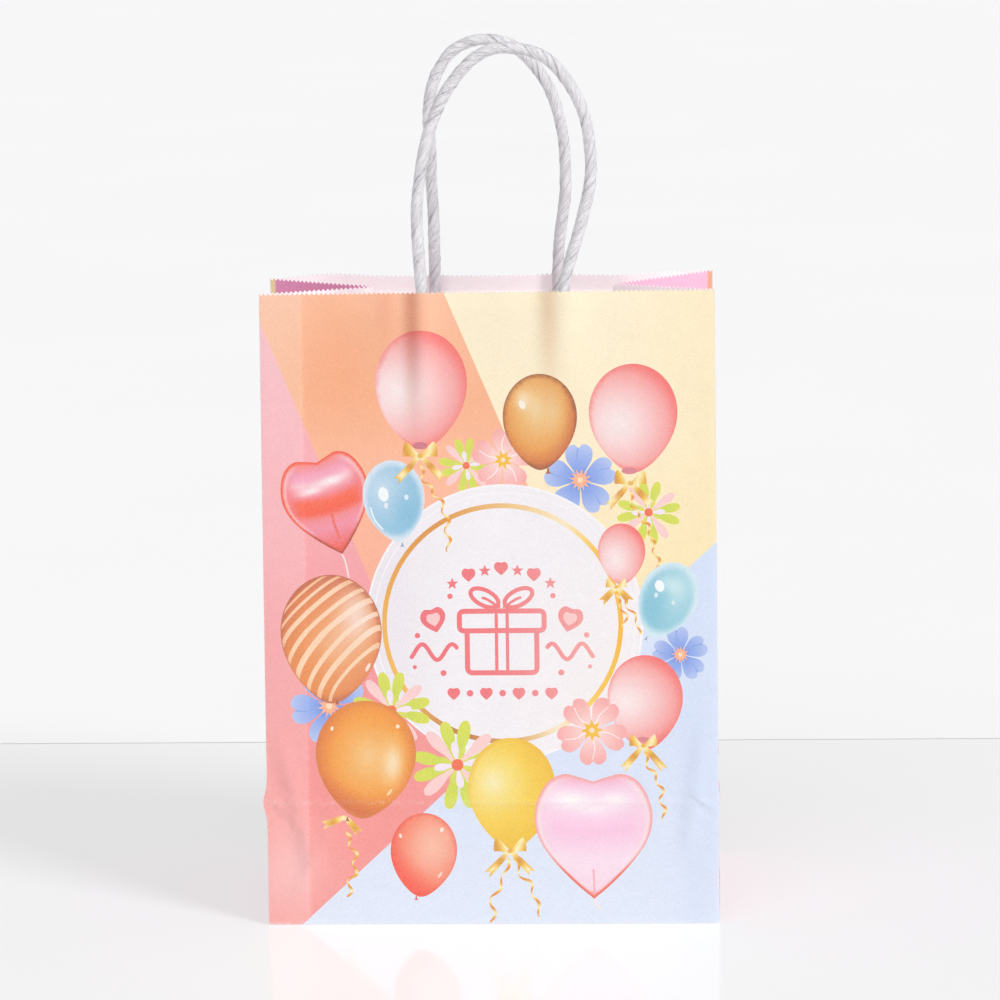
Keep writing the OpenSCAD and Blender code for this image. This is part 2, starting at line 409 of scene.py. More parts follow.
def balloon_paint(place, stops, light, rim=None, glow=(), shade=None):
    """Colour by distance from the light place, with soft glows and a rim."""
    cx, cy, w, h, tilt = place

    def paint(x, y):
        local = turned(np.stack([x - cx, y - cy], axis=-1), -tilt)
        p, q = local[:, 0] / (w / 2), local[:, 1] / (h / 2)
        away = np.hypot((p - light[0]) / (1 + abs(light[0])), (q - light[1]) / (1 + abs(light[1])))
        out = ramp(away, *stops)
        if shade:
            code, direction, low, high = shade
            a = math.radians(direction)
            side = p * math.cos(a) + q * math.sin(a)
            out = blend_to(out, code, 0.85 * ease(side, low, high))
        for gx, gy, rx, ry, code, amount in glow:
            out = blend_to(out, code, amount * np.exp(-((p - gx) / rx) ** 2 - ((q - gy) / ry) ** 2))
        if rim:
            code, start, amount = rim
            edge = np.hypot(p, np.where(q < 0, q * (1 + 0.05 * p * p), q))
            out = blend_to(out, code, amount * ease(edge, start, 0.98))
        return out
    return paint


def balloon(place, stops, light, **looks):
    """A balloon at place, which holds its middle, width, height and tilt."""
    art.add(balloon_outline(*place), balloon_paint(place, stops, light, **looks))


def spots(*places):
    """Small crisp highlights, each with its middle, radii, tilt and colour."""
    for cx, cy, rx, ry, tilt, code in places:
        art.add(ellipse(cx, cy, rx, ry, tilt, 0.4), code)


def knot(x, y, size, code, tilt=0):
    """A balloon's tied end."""
    shape = np.array([(-0.25, 0.9), (0.25, 0.9), (0.3, 0.1), (0.8, -0.7), (0.2, -0.55), (0, -0.8),
                      (-0.3, -0.55), (-0.8, -0.75), (-0.3, 0.1)])
    art.add(turned(shape * size, tilt) + (x, y), code)


def gold_paint(cx, cy, angle, wave):
    """Gold with shiny bands across the angle."""
    a = math.radians(angle)

    def paint(x, y):
        along = (x - cx) * math.cos(a) + (y - cy) * math.sin(a)
        t = 0.5 + 0.5 * np.sin(along * wave * 0.5 + 0.9)
        return ramp(t, (0, "D8962F"), (0.4, "EFB635"), (0.75, "F5CF6C"), (1, "FCEBBB"))
    return paint


def bow(x, y, size=1.0, tilt=0, tails=((-7.6, -8.0), (7.2, -7.6)), loops=True):
    """A gold ribbon bow: two loops, two forked tails and a knot."""
    for tx, ty in tails:
        reach = np.array((tx, ty)) * size
        along = reach / np.linalg.norm(reach)
        across = np.array((-along[1], along[0]))
        shape = [across * 0.7, reach * 0.45 + across * 1.1, reach + across * 1.25 + along * 0.9,
                 reach - along * 0.6, reach - across * 1.25 + along * 0.5, reach * 0.45 - across * 1.0,
                 -across * 0.7]
        art.add(turned(shape, tilt) + (x, y),
                gold_paint(x, y, math.degrees(math.atan2(ty, tx)), 1.6))
    if loops:
        half = np.array([(-0.3, 0.3), (-1.6, 1.7), (-3.5, 3.9), (-4.7, 4.6), (-5.3, 3.6), (-5.7, 1.6),
                         (-5.6, -0.3), (-4.3, -0.2), (-2.2, -0.5), (-0.5, -0.7)])
        for sign in (1, -1):
            shape = smooth_line(half * (sign * size, size), 0.5, closed=True)
            art.add(turned(shape, tilt) + (x, y), gold_paint(x - sign * 1.5, y, 20 * sign, 1.9))
        art.add(ellipse(x, y - 0.1, 0.95 * size, 0.85 * size, 0, 0.4), "E8B24A")


def ribbon(points, sway, turns, width=1.0):
    """A curled ribbon that hangs along the points and shows its two sides in turn."""
    line = smooth_line(points, 0.45)
    run = run_along(line)
    phase = run * turns * 2 * math.pi / 7.0
    fade = np.clip(run / 3.0, 0.2, 1)
    line = line + leftward(headings(line)) * (sway * np.sin(phase) * fade)[:, None]
    widths = width * (0.35 + 0.65 * np.abs(np.sin(phase / 2 + 0.8)))
    top = line[0][1]

    def paint(x, y):
        t = 0.5 + 0.5 * np.sin((top - y) * 2 * math.pi / 3.5 * turns)
        return ramp(t, (0, "E08A2C"), (0.5, "F4B83E"), (1, "FBE9B4"))
    art.add(line_shape(line, widths, ends=False), paint)


def petal(cx, cy, angle, length, width, paint, lobed=False):
    """One petal that points away from the flower's middle."""
    if lobed:
        half = [(0.02, 0.03), (0.26, 0.20), (0.58, 0.42), (0.84, 0.44), (0.99, 0.28), (1.0, 0.12)]
        shape = half + [(0.91, 0.0)] + [(a, -b) for a, b in reversed(half)]
    else:
        half = [(0.06, 0.10), (0.35, 0.26), (0.66, 0.48), (0.88, 0.40), (0.98, 0.16)]
        shape = half + [(a, -b) for a, b in reversed(half)]
    shape = np.array([(a * length, b * width) for a, b in shape])
    shape = smooth_line(shape, 0.5, closed=True)
    art.add(turned(shape, angle) + (cx, cy), paint)


def outward(cx, cy, reach, *stops):
    """Colour by distance from a middle."""
    return lambda x, y: ramp(np.hypot(x - cx, y - cy) / reach, *stops)


def star(cx, cy, outer, inner, rays, code, tilt):
    angles = math.radians(tilt) + np.arange(2 * rays) * math.pi / rays
    radii = np.where(np.arange(2 * rays) % 2 == 0, outer, inner)
    art.add(np.stack([cx + radii * np.cos(angles), cy + radii * np.sin(angles)], axis=-1), code)


def daisy(cx, cy, r, tilt=0):
    """Paired yellow-green petals, with pink ones between and small white ones on top."""
    pink = outward(cx, cy, r, (0, "FBD0CB"), (1, "F9C9C8"))
    green = outward(cx, cy, r, (0, "DDDD62"), (0.45, "CBD84A"), (1, "D6DA4B"))
    for k in range(4):
        petal(cx, cy, 42 + 90 * k + tilt, 0.98 * r, 0.27 * r, pink)
    for k in range(4):
        for off in (-15, 14):
            petal(cx, cy, 93 + 90 * k + off + tilt, r, 0.29 * r, green)
    for k in range(4):
        petal(cx, cy, 84 + 90 * k + tilt, 0.46 * r, 0.30 * r, green)
    for k in range(4):
        petal(cx, cy, 98 + 90 * k + tilt, 0.52 * r, 0.17 * r, "F3E3F3")
    art.add(ellipse(cx, cy, 0.13 * r, 0.13 * r, 0, 0.5), "F26B3F")


def five_petals(cx, cy, r, tilt, inner, between, tip, middle, rays, veins=None):
    """A flower of five petals, each with two lobes, and a star in the middle."""
    for k in range(5):
        angle = tilt + 72 * k
        a = math.radians(angle)
        stops = ((0, inner), (0.4, between), (1.0, tip))
        petal(cx, cy, angle, r, 0.86 * r, outward(cx + 0.1 * math.cos(a), cy, r, *stops), lobed=True)
        if veins:
            line = np.array([(0.2 * r, 0), (0.5 * r, 0.06 * r), (0.85 * r, -0.02 * r)])
            line = turned(smooth_line(line, 0.6), angle) + (cx, cy)
            art.add(line_shape(line, np.linspace(0.35, 0.22, len(line)), ends=False), veins)
        else:
            line = np.array([(0.3 * r, 0), (0.6 * r, 0.07 * r), (0.9 * r, 0.02 * r)])
            line = turned(smooth_line(line, 0.6), angle) + (cx, cy)
            art.add(line_shape(line, np.linspace(0.2, 0.5, len(line)), ends=False), between)
    star(cx, cy, 0.33 * r, 0.17 * r, rays, middle, tilt)
    art.add(ellipse(cx, cy, 0.08 * r, 0.08 * r, 0, 0.3), "FCD9B8")


def pink_flower(cx, cy, r, tilt=0):
    five_petals(cx, cy, r, tilt, "FCE2DC", "FBC9C4", "F7A7A4", "F3BB22", 8, veins="FFF3EF")


def blue_flower(cx, cy, r, tilt=0):
    five_petals(cx, cy, r, tilt, "5F84DA", "86A2E4", "B2C3EE", "FBB088", 12)


def heart_outline(cx, cy, w, h, tilt, grow=1.0):
    half = [(0.0, 0.88), (0.24, 0.95), (0.50, 1.0), (0.76, 0.88), (0.94, 0.60), (1.0, 0.27),
            (0.90, -0.08), (0.65, -0.42), (0.30, -0.76)]
    right = smooth_line(half + [(0.0, -1.0)], 0.03)
    shape = np.concatenate([right, right[-2:0:-1] * (-1, 1)])
    shape = shape * (w / 2 * grow, h / 2 * grow)
    return turned(shape, tilt) + (cx, cy)


def foil_heart(cx, cy, w, h, tilt, rim, tip, stops, side, shine, rim_start):
    """A foil balloon: a bright rim, bands that follow the heart and a shine."""
    outline = heart_outline(0, 0, 2, 2, 0)
    bearings = np.arctan2(outline[:, 1], outline[:, 0])
    order = np.argsort(bearings)
    bearings, reaches = bearings[order], np.hypot(outline[:, 0], outline[:, 1])[order]

    def paint(x, y):
        place = turned(np.stack([x - cx, y - cy], axis=-1), -tilt)
        p, q = place[:, 0] / (w / 2), place[:, 1] / (h / 2)
        level = np.hypot(p, q) / np.interp(np.arctan2(q, p), bearings, reaches, period=2 * math.pi)
        out = ramp(q - 0.16 * p * p, *stops)
        out = blend_to(out, side, 0.85 * ease(np.abs(p), 0.55, 0.9))
        for sx, sy, rx, ry, amount in shine:
            out = blend_to(out, "FDF4F4", amount * np.exp(-((p - sx) / rx) ** 2 - ((q - sy) / ry) ** 2))
        out = blend_to(out, "FDE3DE", 0.6 * gauss(level, rim_start - 0.01, 0.03) * ease(np.abs(p), 0.3, 0.8))
        out = blend_to(out, rim, ease(level, rim_start, rim_start + 0.07))
        low = ease(-q, 0.2, 0.7)
        out = blend_to(out, tip, 0.9 * ease(level, rim_start - 0.02 * low, rim_start + 0.06) * low)
        return blend_to(out, rim, 0.5 * ease(level, 0.975, 1.0) * (1 - low))

    for grow in (1.0, 0.975, rim_start + 0.07, rim_start, rim_start - 0.08):
        art.add(heart_outline(cx, cy, w, h, tilt, grow), paint)


def stroke(points, width, paint, closed=False, inside=None):
    """A line of even width. A closed one is an outline with the inside painted over."""
    if closed:
        points = facing_up(points)
        heading = np.roll(points, -1, axis=0) - np.roll(points, 1, axis=0)
        heading /= np.linalg.norm(heading, axis=1)[:, None]
        normal = np.stack([heading[:, 1], -heading[:, 0]], axis=-1)
        art.add(points + normal * width / 2, paint)
        art.add(points - normal * width / 2, inside)
    else:
        art.add(line_shape(points, width), paint)


# ---------------------------------------------------------------- artwork: the print itself
def seam_tint(colours, x):
    """The print is a little paler beyond the glued seam."""
    return blend_to(colours, "FFFFFF", 0.15 * (1 - ease(x, LAP_X - 0.15, LAP_X + 0.15)))


def ground_pink(x, y):
    out = ramp(y, (0, "F4948F"), (40, "F3928E"), (95, "F19497"), (125, "F5A2A6"), (200, "F8B3BB"))
    return seam_tint(blend_to(out, "FBC2BE", 0.5 * gauss(x, -66, 14) * gauss(y, 18, 14)), x)


def ground_orange(x, y):
    out = ramp(y, (100, "FCA88E"), (150, "FEB696"), (175, "FBB087"), (210, "FCBA98"))
    return seam_tint(blend_to(out, "EE9765", 0.4 * gauss(x, -48, 16) * gauss(y, 188, 22)), x)


def ground_yellow(x, y):
    out = ramp(y, (110, "FDE4B4"), (160, "FEEAC6"), (210, "FFEDCB"))
    return blend_to(out, "FCDD9D", 0.18 * ease(x, 40, 75))


def ground_blue(x, y):
    out = ramp(y, (0, "DDE5F6"), (45, "D6E0F6"), (125, "D3DFF8"))
    return blend_to(out, "C9D8F5", 0.35 * gauss(x, 68, 8))


RING_MIDDLE = (4.2, 100.3)
DISC_MIDDLE = (4.9, 100.6)


def ring_paint(x, y):
    """Gold that changes with the bearing from the ring's middle."""
    angle = np.degrees(np.arctan2(y - RING_MIDDLE[1], x - RING_MIDDLE[0])) % 360
    return ramp(angle, (0, "F7B521"), (38, "F8C14B"), (58, "FBE6BE"), (85, "EBC083"), (125, "D98E2B"),
                (180, "EDB045"), (215, "F0B44E"), (250, "B9762E"), (275, "D9A35C"), (298, "FBE7C6"),
                (322, "F8C548"), (360, "F7B521"))


def disc_paint(x, y):
    out = np.tile(rgb("F1ECF0"), (len(x), 1))
    out = blend_to(out, "E7E0E8", 0.8 * gauss(x, -38, 16))
    return blend_to(out, "F6EEEE", 0.8 * gauss(x, 36, 26) * gauss(y, 80, 40))


def coral(x, y):
    """The motif's coral, which pales to the right."""
    return ramp(x, (-25, "EE6A74"), (0, "EE7478"), (20, "F08E90"), (34, "F4A39D"))


def draw_ground():
    art.add(polygon_line([(-76, 203), (-66.4, 180.1), (-39.1, 113.9), (-30, 92), (20, 92), (33, 99),
                          (12.9, 146.5), (-14.4, 211), (-76, 211)], 4), ground_orange)
    art.add(polygon_line([(-14.4, 211), (12.9, 146.5), (33, 99), (43, 97.8), (76, 128), (76, 211)], 4),
            ground_yellow)
    art.add(polygon_line([(76, 128), (43, 97.8), (-15, 44.6), (-63.6, 0), (-63.6, -1), (76, -1)], 4),
            ground_blue)


def draw_disc():
    for radius, code in ((45.9, "F7F3F6"), (45.2, None), (43.3, "F6F2F5"), (42.9, None)):
        art.add(ellipse(*DISC_MIDDLE, radius, radius), code or disc_paint)
    for radius, paint in ((39.9, ring_paint), (38.3, disc_paint)):
        art.add(ellipse(*RING_MIDDLE, radius, radius), paint)


def rounded_box(x0, y0, x1, y1, r):
    """A box's outline with round corners."""
    points = []
    corners = ((x1 - r, y0 + r, -90), (x1 - r, y1 - r, 0), (x0 + r, y1 - r, 90), (x0 + r, y0 + r, 180))
    for cx, cy, start in corners:
        for k in range(5):
            a = math.radians(start + 22.5 * k)
            points.append((cx + r * math.cos(a), cy + r * math.sin(a)))
    return polygon_line(points, 0.8)


def draw_box():
    """The gift box's body and lid, and the ribbon down both."""
    for outline in (rounded_box(-7.5, 84.0, 15.5, 100.5, 1.6), rounded_box(-10.0, 98.0, 18.0, 104.5, 1.4)):
        stroke(outline, 1.7, coral, True, disc_paint)
    for x in (2.2, 5.8):
        for low, high in ((85, 98), (99.2, 103.8)):
            stroke([(x, y) for y in np.arange(low, high, 0.8)], 1.1, coral)


def draw_motif():
    """Line art of a gift box between hearts, streamers and confetti, in place of any lettering."""
    middle = 4
    draw_box()
    for sign in (-1, 1):
        stroke(ellipse(middle + sign * 5.6, 108.9, 5.0, 2.5, 27 * sign), 1.4, coral, True, disc_paint)
        tail = [(middle + sign * a, b) for a, b in ((0.8, 105.8), (4.6, 108.3), (6.2, 108.9))]
        stroke(smooth_line(tail, 0.6), 0.9, coral)
        run = np.linspace(0, 1, 40)
        streamer = np.stack([middle + sign * (15 + 15 * run), 91 + 2.6 * np.sin(run * 9.5 + 0.6)], axis=-1)
        stroke(streamer, 1.4, coral)
        art.add(heart_outline(middle + sign * 22.5, 101.5, 8.4, 8.2, -14 * sign), coral)
        art.add(heart_outline(middle + sign * 22.5, 101.7, 4.6, 4.4, -14 * sign), "F9C6C4")
        for a, b, r in ((17.0, 109.5, 0.9), (28.0, 96.5, 0.9), (19.5, 84.0, 1.0), (29.0, 86.0, 0.7)):
            art.add(ellipse(middle + sign * a, b, r, r, 0, 0.4), coral)
    for k in range(7):
        x = middle + (k - 3) * 5.4
        drop = 0.06 * (x - middle) ** 2 * 0.3
        if k % 2:
            art.add(heart_outline(x, 118.6 - drop, 4.6, 4.4, 0), coral)
            art.add(ellipse(x, 77.2, 1.1, 1.1, 0, 0.4), coral)
        else:
            star(x, 118.4 - drop, 2.1, 0.9, 5, coral, 90)
            art.add(heart_outline(x, 77.0, 4.2, 4.0, 0), coral)


PINK_STOPS = ((0, "FBE6E4"), (0.28, "FAD8D7"), (0.6, "F8BCBA"), (0.85, "F6A09D"), (1.05, "F4716C"))
AMBER_STOPS = ((0, "F2CE9A"), (0.35, "EDB56C"), (0.7, "E59A44"), (1.0, "C9682E"))
BLUE_STOPS = ((0, "C2DAEA"), (0.35, "A9CBE2"), (0.75, "8FC0DA"), (1.0, "8ABBD8"))
TEAL_STOPS = ((0, "B9DDE6"), (0.4, "9FCFDC"), (0.8, "8CC4D6"), (1.0, "8CC4D6"))
YELLOW_STOPS = ((0, "FBEBB8"), (0.25, "F8DC7E"), (0.6, "F5CB44"), (1.0, "EFBE2C"))
CORAL_STOPS = ((0, "F9B9A0"), (0.35, "F7A890"), (0.75, "F58468"), (1.05, "EE5A44"))
ORANGE_STOPS = ((0, "F4C282"), (0.35, "F2AC56"), (0.65, "F29C36"), (0.9, "E38028"), (1.1, "CC5A26"))
STRIPED_STOPS = ((0, "F2B083"), (0.4, "EC9A60"), (0.75, "E3864A"), (1.05, "D0703C"))
STRIPED = (-52.7, 95.8, 33.7, 42.0, 0)


def draw_flowers_behind():
    daisy(-7.1, 152.7, 9.3, 2)
    pink_flower(5.1, 154.5, 10, 15)
    blue_flower(30.4, 147.7, 11.6, 20)
    daisy(52.8, 136.9, 10.6, -6)
    blue_flower(62.8, 89.8, 9.0, 25)
    blue_flower(-53.7, 73.1, 12.6, 42)


def draw_upper_balloons():
    ribbon([(46.9, 144), (48.2, 138), (52.5, 132), (54.2, 126), (56.3, 118)], 0.8, 1.2)
    balloon((48.0, 168.2, 29.0, 35.0, 0), PINK_STOPS, (-0.35, -0.12), rim=("F4716C", 0.9, 0.6))
    art.add(ellipse(46.6, 150.6, 2.6, 1.1, 0, 0.5), "D9828C")
    bow(46.9, 146.6, 0.92)
    balloon((17.4, 167.2, 24.4, 31.0, 0), AMBER_STOPS, (-0.1, 0.25), rim=("8F4A1E", 0.90, 0.75),
            glow=((-0.45, 0.45, 0.22, 0.2, "FBE6CB", 0.75), (0.4, 0.2, 0.3, 0.5, "F3CF9F", 0.5)))
    spots((11.6, 172.6, 1.0, 1.5, 25, "FCEFE0"))
    knot(19.9, 150.6, 1.2, "B5622C")
    ribbon([(-22.2, 153), (-20.5, 147), (-16.5, 142), (-14.0, 136), (-13.6, 130), (-13.1, 124.3)], 0.9, 1.1)
    balloon((-21.7, 178.1, 30.4, 38.4, 0), PINK_STOPS, (-0.5, -0.05), rim=("F4716C", 0.92, 0.45))
    art.add(ellipse(-22.3, 159.4, 2.4, 1.2, 0, 0.5), "C97482")
    draw_red_heart()
    balloon((-31.1, 141.4, 20.5, 26.5, 7), BLUE_STOPS, (-0.35, 0.3), rim=("DCE6F2", 0.78, 0.9),
            glow=((0.35, -0.35, 0.4, 0.45, "7DB9D6", 0.7),))
    spots((-34.6, 143.4, 1.7, 2.4, 12, "F3F8FA"), (-33.8, 139.6, 0.7, 1.0, 0, "DDEBF3"),
          (-27.0, 142.4, 0.7, 0.9, 0, "DDEBF3"))
    stroke(smooth_line([(-39.0, 139.0), (-37.6, 135.0), (-35.0, 131.8)], 0.5), 0.5, "EDF3F8")
    knot(-28.6, 126.6, 0.9, "8DA9BA")
    bow(-22.3, 156.1, 1.0)


def draw_red_heart():
    bands = ((-1, "EE4A2A"), (-0.72, "EE7276"), (-0.45, "F08FA4"), (-0.24, "F1898E"), (-0.10, "F5593A"),
             (0.10, "F76340"), (0.22, "F4808A"), (0.36, "F5A5B0"), (0.46, "F8C6CC"), (0.58, "F4A6BA"),
             (0.70, "F29AB2"), (0.88, "F38680"), (1, "F4562E"))
    shine = ((0.22, 0.46, 0.26, 0.08, 0.85), (-0.30, 0.36, 0.28, 0.07, 0.85))
    foil_heart(-52.9, 139.8, 29.2, 33.4, 15, "F4562E", "B2402A", bands, "F27A80", shine, 0.915)
    stroke([(-49.4, 129), (-51.2, 134), (-51.8, 137)], 0.8, "EE6A5C")


def draw_side_balloons():
    ribbon([(41.9, 110), (43.5, 106), (44.8, 102), (44.3, 98.9)], 0.7, 1.1, 0.8)
    ribbon([(43.4, 110), (46.2, 105), (48.6, 101), (49.2, 96.5)], 0.7, 1.1, 0.8)
    balloon((58.6, 108.0, 19.0, 25.6, -24), TEAL_STOPS, (0.25, 0.35), rim=("D8EAF2", 0.74, 0.9),
            glow=((-0.3, -0.3, 0.35, 0.5, "7ABFD2", 0.7), (-0.1, 0.4, 0.35, 0.2, "DCEFF2", 0.6)))
    spots((56.2, 112.6, 1.5, 2.0, 15, "F3FAFA"), (55.0, 109.6, 0.6, 0.8, 0, "DCEFF2"),
          (60.6, 107.0, 0.6, 0.8, 0, "CFE7EE"))
    knot(51.6, 95.2, 0.8, "8FAAB4", -20)
    balloon((43.8, 123.4, 15.5, 19.8, 0), PINK_STOPS, (-0.3, -0.2), rim=("F4716C", 0.9, 0.5))
    bow(41.9, 112.4, 0.6)
    balloon((51.1, 74.2, 24.8, 31.0, 0), PINK_STOPS, (-0.55, 0.0), rim=("F4716C", 0.92, 0.5))
    ribbon([(50.6, 57.5), (52.6, 51.5), (55.6, 46.5), (56.4, 40), (57.2, 34.7)], 0.9, 1.1)
    art.add(ellipse(50.2, 61.6, 2.1, 0.9, 0, 0.5), "D9828C")
    bow(50.3, 59.6, 0.80, 0, ((-8.0, -9.4), (8.2, -9.6)))
    pink_flower(33.4, 64.7, 11.4, -88)


def draw_lower_balloons():
    daisy(-33.0, 71.6, 13.2, -3)
    daisy(-11.3, 53.3, 15.2, 0)
    ribbon([(5.4, 22), (3.4, 15), (-0.4, 8), (0.0, 3), (-0.5, 0.4)], 0.8, 0.8)
    ribbon([(7.0, 22), (10.4, 15), (13.2, 12), (14.5, 6), (16.2, 2.4)], 0.9, 0.9)
    balloon((6.6, 44.1, 29.0, 36.4, 0), YELLOW_STOPS, (-0.42, 0.18), rim=("EBB52A", 0.9, 0.5),
            shade=("F1BE2E", 40, 0.35, 1.1))
    draw_pink_heart()
    balloon((-23.0, 23.4, 22.1, 27.5, -5), CORAL_STOPS, (0.25, 0.2), rim=("E9503C", 0.9, 0.5),
            shade=("F8553F", 235, 0.2, 1.0))
    spots((-16.8, 31.6, 0.6, 0.8, -20, "FDE7DC"), (-30.6, 29.6, 0.5, 0.8, 20, "FCD9CC"),
          (-17.6, 16.4, 0.5, 1.2, -35, "FBC9B8"))
    knot(-25.6, 8.6, 0.9, "DC6552")
    ribbon([(-48.6, 31), (-46.4, 25), (-45.8, 19), (-47.6, 14), (-48.3, 9.1)], 1.0, 1.1)
    bow(-49.0, 36.0, 0.72, 0, ((-9.6, -3.6), (6.0, -7.0)), loops=False)
    balloon((-41.9, 55.5, 33.4, 38.7, -5), ORANGE_STOPS, (0.05, 0.05), rim=("D9823A", 0.93, 0.6),
            shade=("C9602C", 250, 0.45, 1.15),
            glow=((0.55, -0.05, 0.20, 0.34, "F9E6CC", 0.8), (0.1, 0.75, 0.6, 0.2, "F39A28", 0.6)))
    spots((-52.9, 65.6, 0.5, 0.8, -20, "FBE3C4"), (-31.0, 66.2, 0.6, 0.7, 0, "FCEBD4"),
          (-34.0, 44.2, 0.5, 1.4, -38, "F6CFA0"))
    knot(-48.2, 35.2, 1.0, "B5602C")
    draw_striped_balloon()


def draw_pink_heart():
    bands = ((-1, "F07A60"), (-0.86, "F8D4E2"), (-0.4, "F9DAE9"), (-0.12, "F9CCE2"), (0.08, "F9C2DD"),
             (0.26, "FBCBE3"), (0.42, "FBD6E8"), (0.62, "FAD9EA"), (0.8, "F8C6DE"), (1, "F6A6AE"))
    shine = ((-0.38, 0.60, 0.30, 0.13, 0.95), (0.38, 0.60, 0.22, 0.10, 0.7), (0.02, 0.45, 0.3, 0.10, 0.5))
    foil_heart(33.6, 29.2, 38.7, 41.4, 0, "F6A19C", "EC5A3E", bands, "F8CFE0", shine, 0.94)
    bow(5.8, 24.6, 0.95)
    stroke([(33.7, 10), (33.6, 14), (33.4, 18)], 0.6, "F3A6B4")
    stroke(smooth_line([(33.6, 8.0), (34.4, 6.4), (35.6, 4.9)], 0.5), 0.7, "F9E3E0")


def pole_axes(pole):
    """The stripes' pole as a unit vector, and two more at right angles to it."""
    pole = pole / np.linalg.norm(pole)
    first = np.cross(pole, (0, 0, 1.0))
    first /= np.linalg.norm(first)
    return pole, first, np.cross(pole, first)


def parallel(axes, height):
    """The visible part of a circle of latitude on a unit ball, as seen from the front."""
    pole, first, second = axes
    turn = np.linspace(0, 2 * math.pi, 200)[:, None]
    ring = pole * math.sin(height) + math.cos(height) * (first * np.cos(turn) + second * np.sin(turn))
    seen = np.nonzero(ring[:, 2] > 0.12)[0]
    gap = np.nonzero(np.diff(seen) > 1)[0]
    if len(gap):
        seen = np.roll(seen, -(gap[0] + 1))
    return ring[seen, :2] * 0.99


def stripe_paint(x, y):
    edge = np.hypot((x - STRIPED[0]) / 17, (y - STRIPED[1]) / 21)
    out = blend_to(np.tile(rgb("FBCFAC"), (len(x), 1)), "EFAE80", 0.8 * ease(edge, 0.75, 1.0))
    return blend_to(out, "FDE9E2", 0.6 * gauss(x, -42, 8) * gauss(y, 103, 8))


def draw_striped_balloon():
    stroke(smooth_line([(-48.9, 124.2), (-47.6, 121), (-46.6, 116.0)], 0.6), 0.5, "F8E3E4")
    balloon(STRIPED, STRIPED_STOPS, (0.1, -0.1), rim=("B9603A", 0.90, 0.65), shade=("E48C3E", 230, 0.1, 1.1),
            glow=((0.5, 0.35, 0.35, 0.45, "F9DCD2", 0.85), (0.0, 0.9, 0.8, 0.2, "CF7656", 0.6)))
    axes = pole_axes(np.array((-0.60, 0.78, -0.16)))
    for k in range(8):
        height = -0.92 + 0.26 * k
        low, high = parallel(axes, height), parallel(axes, height + 0.085 + 0.02 * (k % 2))
        shape = np.concatenate([low, high[::-1]])
        art.add(balloon_map(shape[:, 0], shape[:, 1], *STRIPED), stripe_paint)
    spots((-40.6, 86.0, 0.5, 1.6, -28, "FCE6D6"))
    knot(-51.0, 74.2, 1.0, "A9502C")


def draw_all():
    draw_ground()
    draw_flowers_behind()
    draw_disc()
    draw_motif()
    draw_lower_balloons()
    draw_upper_balloons()
    draw_side_balloons()


draw_all()


# ---------------------------------------------------------------- the printed panels
def panel_outline():
    n = 2 * round(2 * HALF_W / TOOTH_PITCH)
    top = [(HALF_W - i * 2 * HALF_W / n, BAG_H - (i % 2) * TOOTH_H) for i in range(n + 1)]
    left = [(-HALF_W, u) for u in np.arange(BAG_H - 2, 0, -2.0)]
    foot = [(x, 0.1) for x in np.arange(-HALF_W, HALF_W + 0.1, 2.5)]
    right = [(HALF_W, u) for u in np.arange(2.0, BAG_H - 1, 2.0)]
    return np.array(foot + right + top + left)


def loose_points(step):
    """Points for the paper's relief, closer along the seam, the folds and the crease."""
    points = []
    row = 0
    for u in np.arange(1.5, BAG_H - 1.2, step):
        for x in np.arange(-HALF_W + 1.8, HALF_W - 1.6, step):
            points.append((x + (step / 2 if row % 2 else 0), u))
        row += 1
    for x in (LAP_X - 0.3, LAP_X, LAP_X + 0.3, -HALF_W + 0.5, -HALF_W + 1.1, HALF_W - 0.5, HALF_W - 1.1):
        points += [(x, u) for u in np.arange(1.0, BAG_H - 1.2, 2.0)]
    for u in (FOLD_U - 1.2, FOLD_U - 0.5, FOLD_U, FOLD_U + 0.5, FOLD_U + 1.2, BASE_MARK_U):
        points += [(x, u) for x in np.arange(-HALF_W + 2, HALF_W - 2, 1.9)]
    return points


def points_inside(outline, step):
    """Points for the gradients of a balloon or a heart. Smaller and larger shapes need none."""
    low, high = outline.min(axis=0), outline.max(axis=0)
    middle, half = (low + high) / 2, (high - low) / 2
    points = []
    if 12 < high[0] - low[0] < 45:
        for y in np.arange(low[1], high[1], step):
            for x in np.arange(low[0], high[0], step):
                if np.hypot(*((np.array((x, y)) - middle) / half)) < 0.93:
                    points.append(Vector((x + random.uniform(-0.1, 0.1), y + random.uniform(-0.1, 0.1))))
    return points


def imprint():
    """The artwork's outlines cut into the panel: places, triangles and each one's topmost shape."""
    verts, faces = [], []
    outlines = [panel_outline()] + [outline for outline, _ in art.shapes]
    for outline in outlines:
        start = len(verts)
        verts += [Vector(p) for p in outline]
        faces.append(list(range(start, len(verts))))
    verts += [Vector(p) for p in loose_points(1.7)]
    for outline, _ in art.shapes:
        verts += points_inside(outline, 1.1)
    result = delaunay_2d_cdt(verts, [], faces, 1, 1e-4)
    places = np.array([(v.x, v.y) for v in result[0]])
    boxes = [(outline.min(axis=0) - 0.01, outline.max(axis=0) + 0.01) for outline in outlines]
    triangles, tops = [], []
    for face, origins in zip(result[2], result[5]):
        if 0 in origins:
            middle = places[list(face)].mean(axis=0)
            inside = [k for k in origins if (boxes[k][0] <= middle).all() and (middle <= boxes[k][1]).all()]
            triangles.append(face)
            tops.append(max(inside))
    used, corners = np.unique(np.array(triangles), return_inverse=True)
    return places[used], corners.reshape(-1, 3), np.array(tops)


PLACES, TRIANGLES, TOPS = imprint()


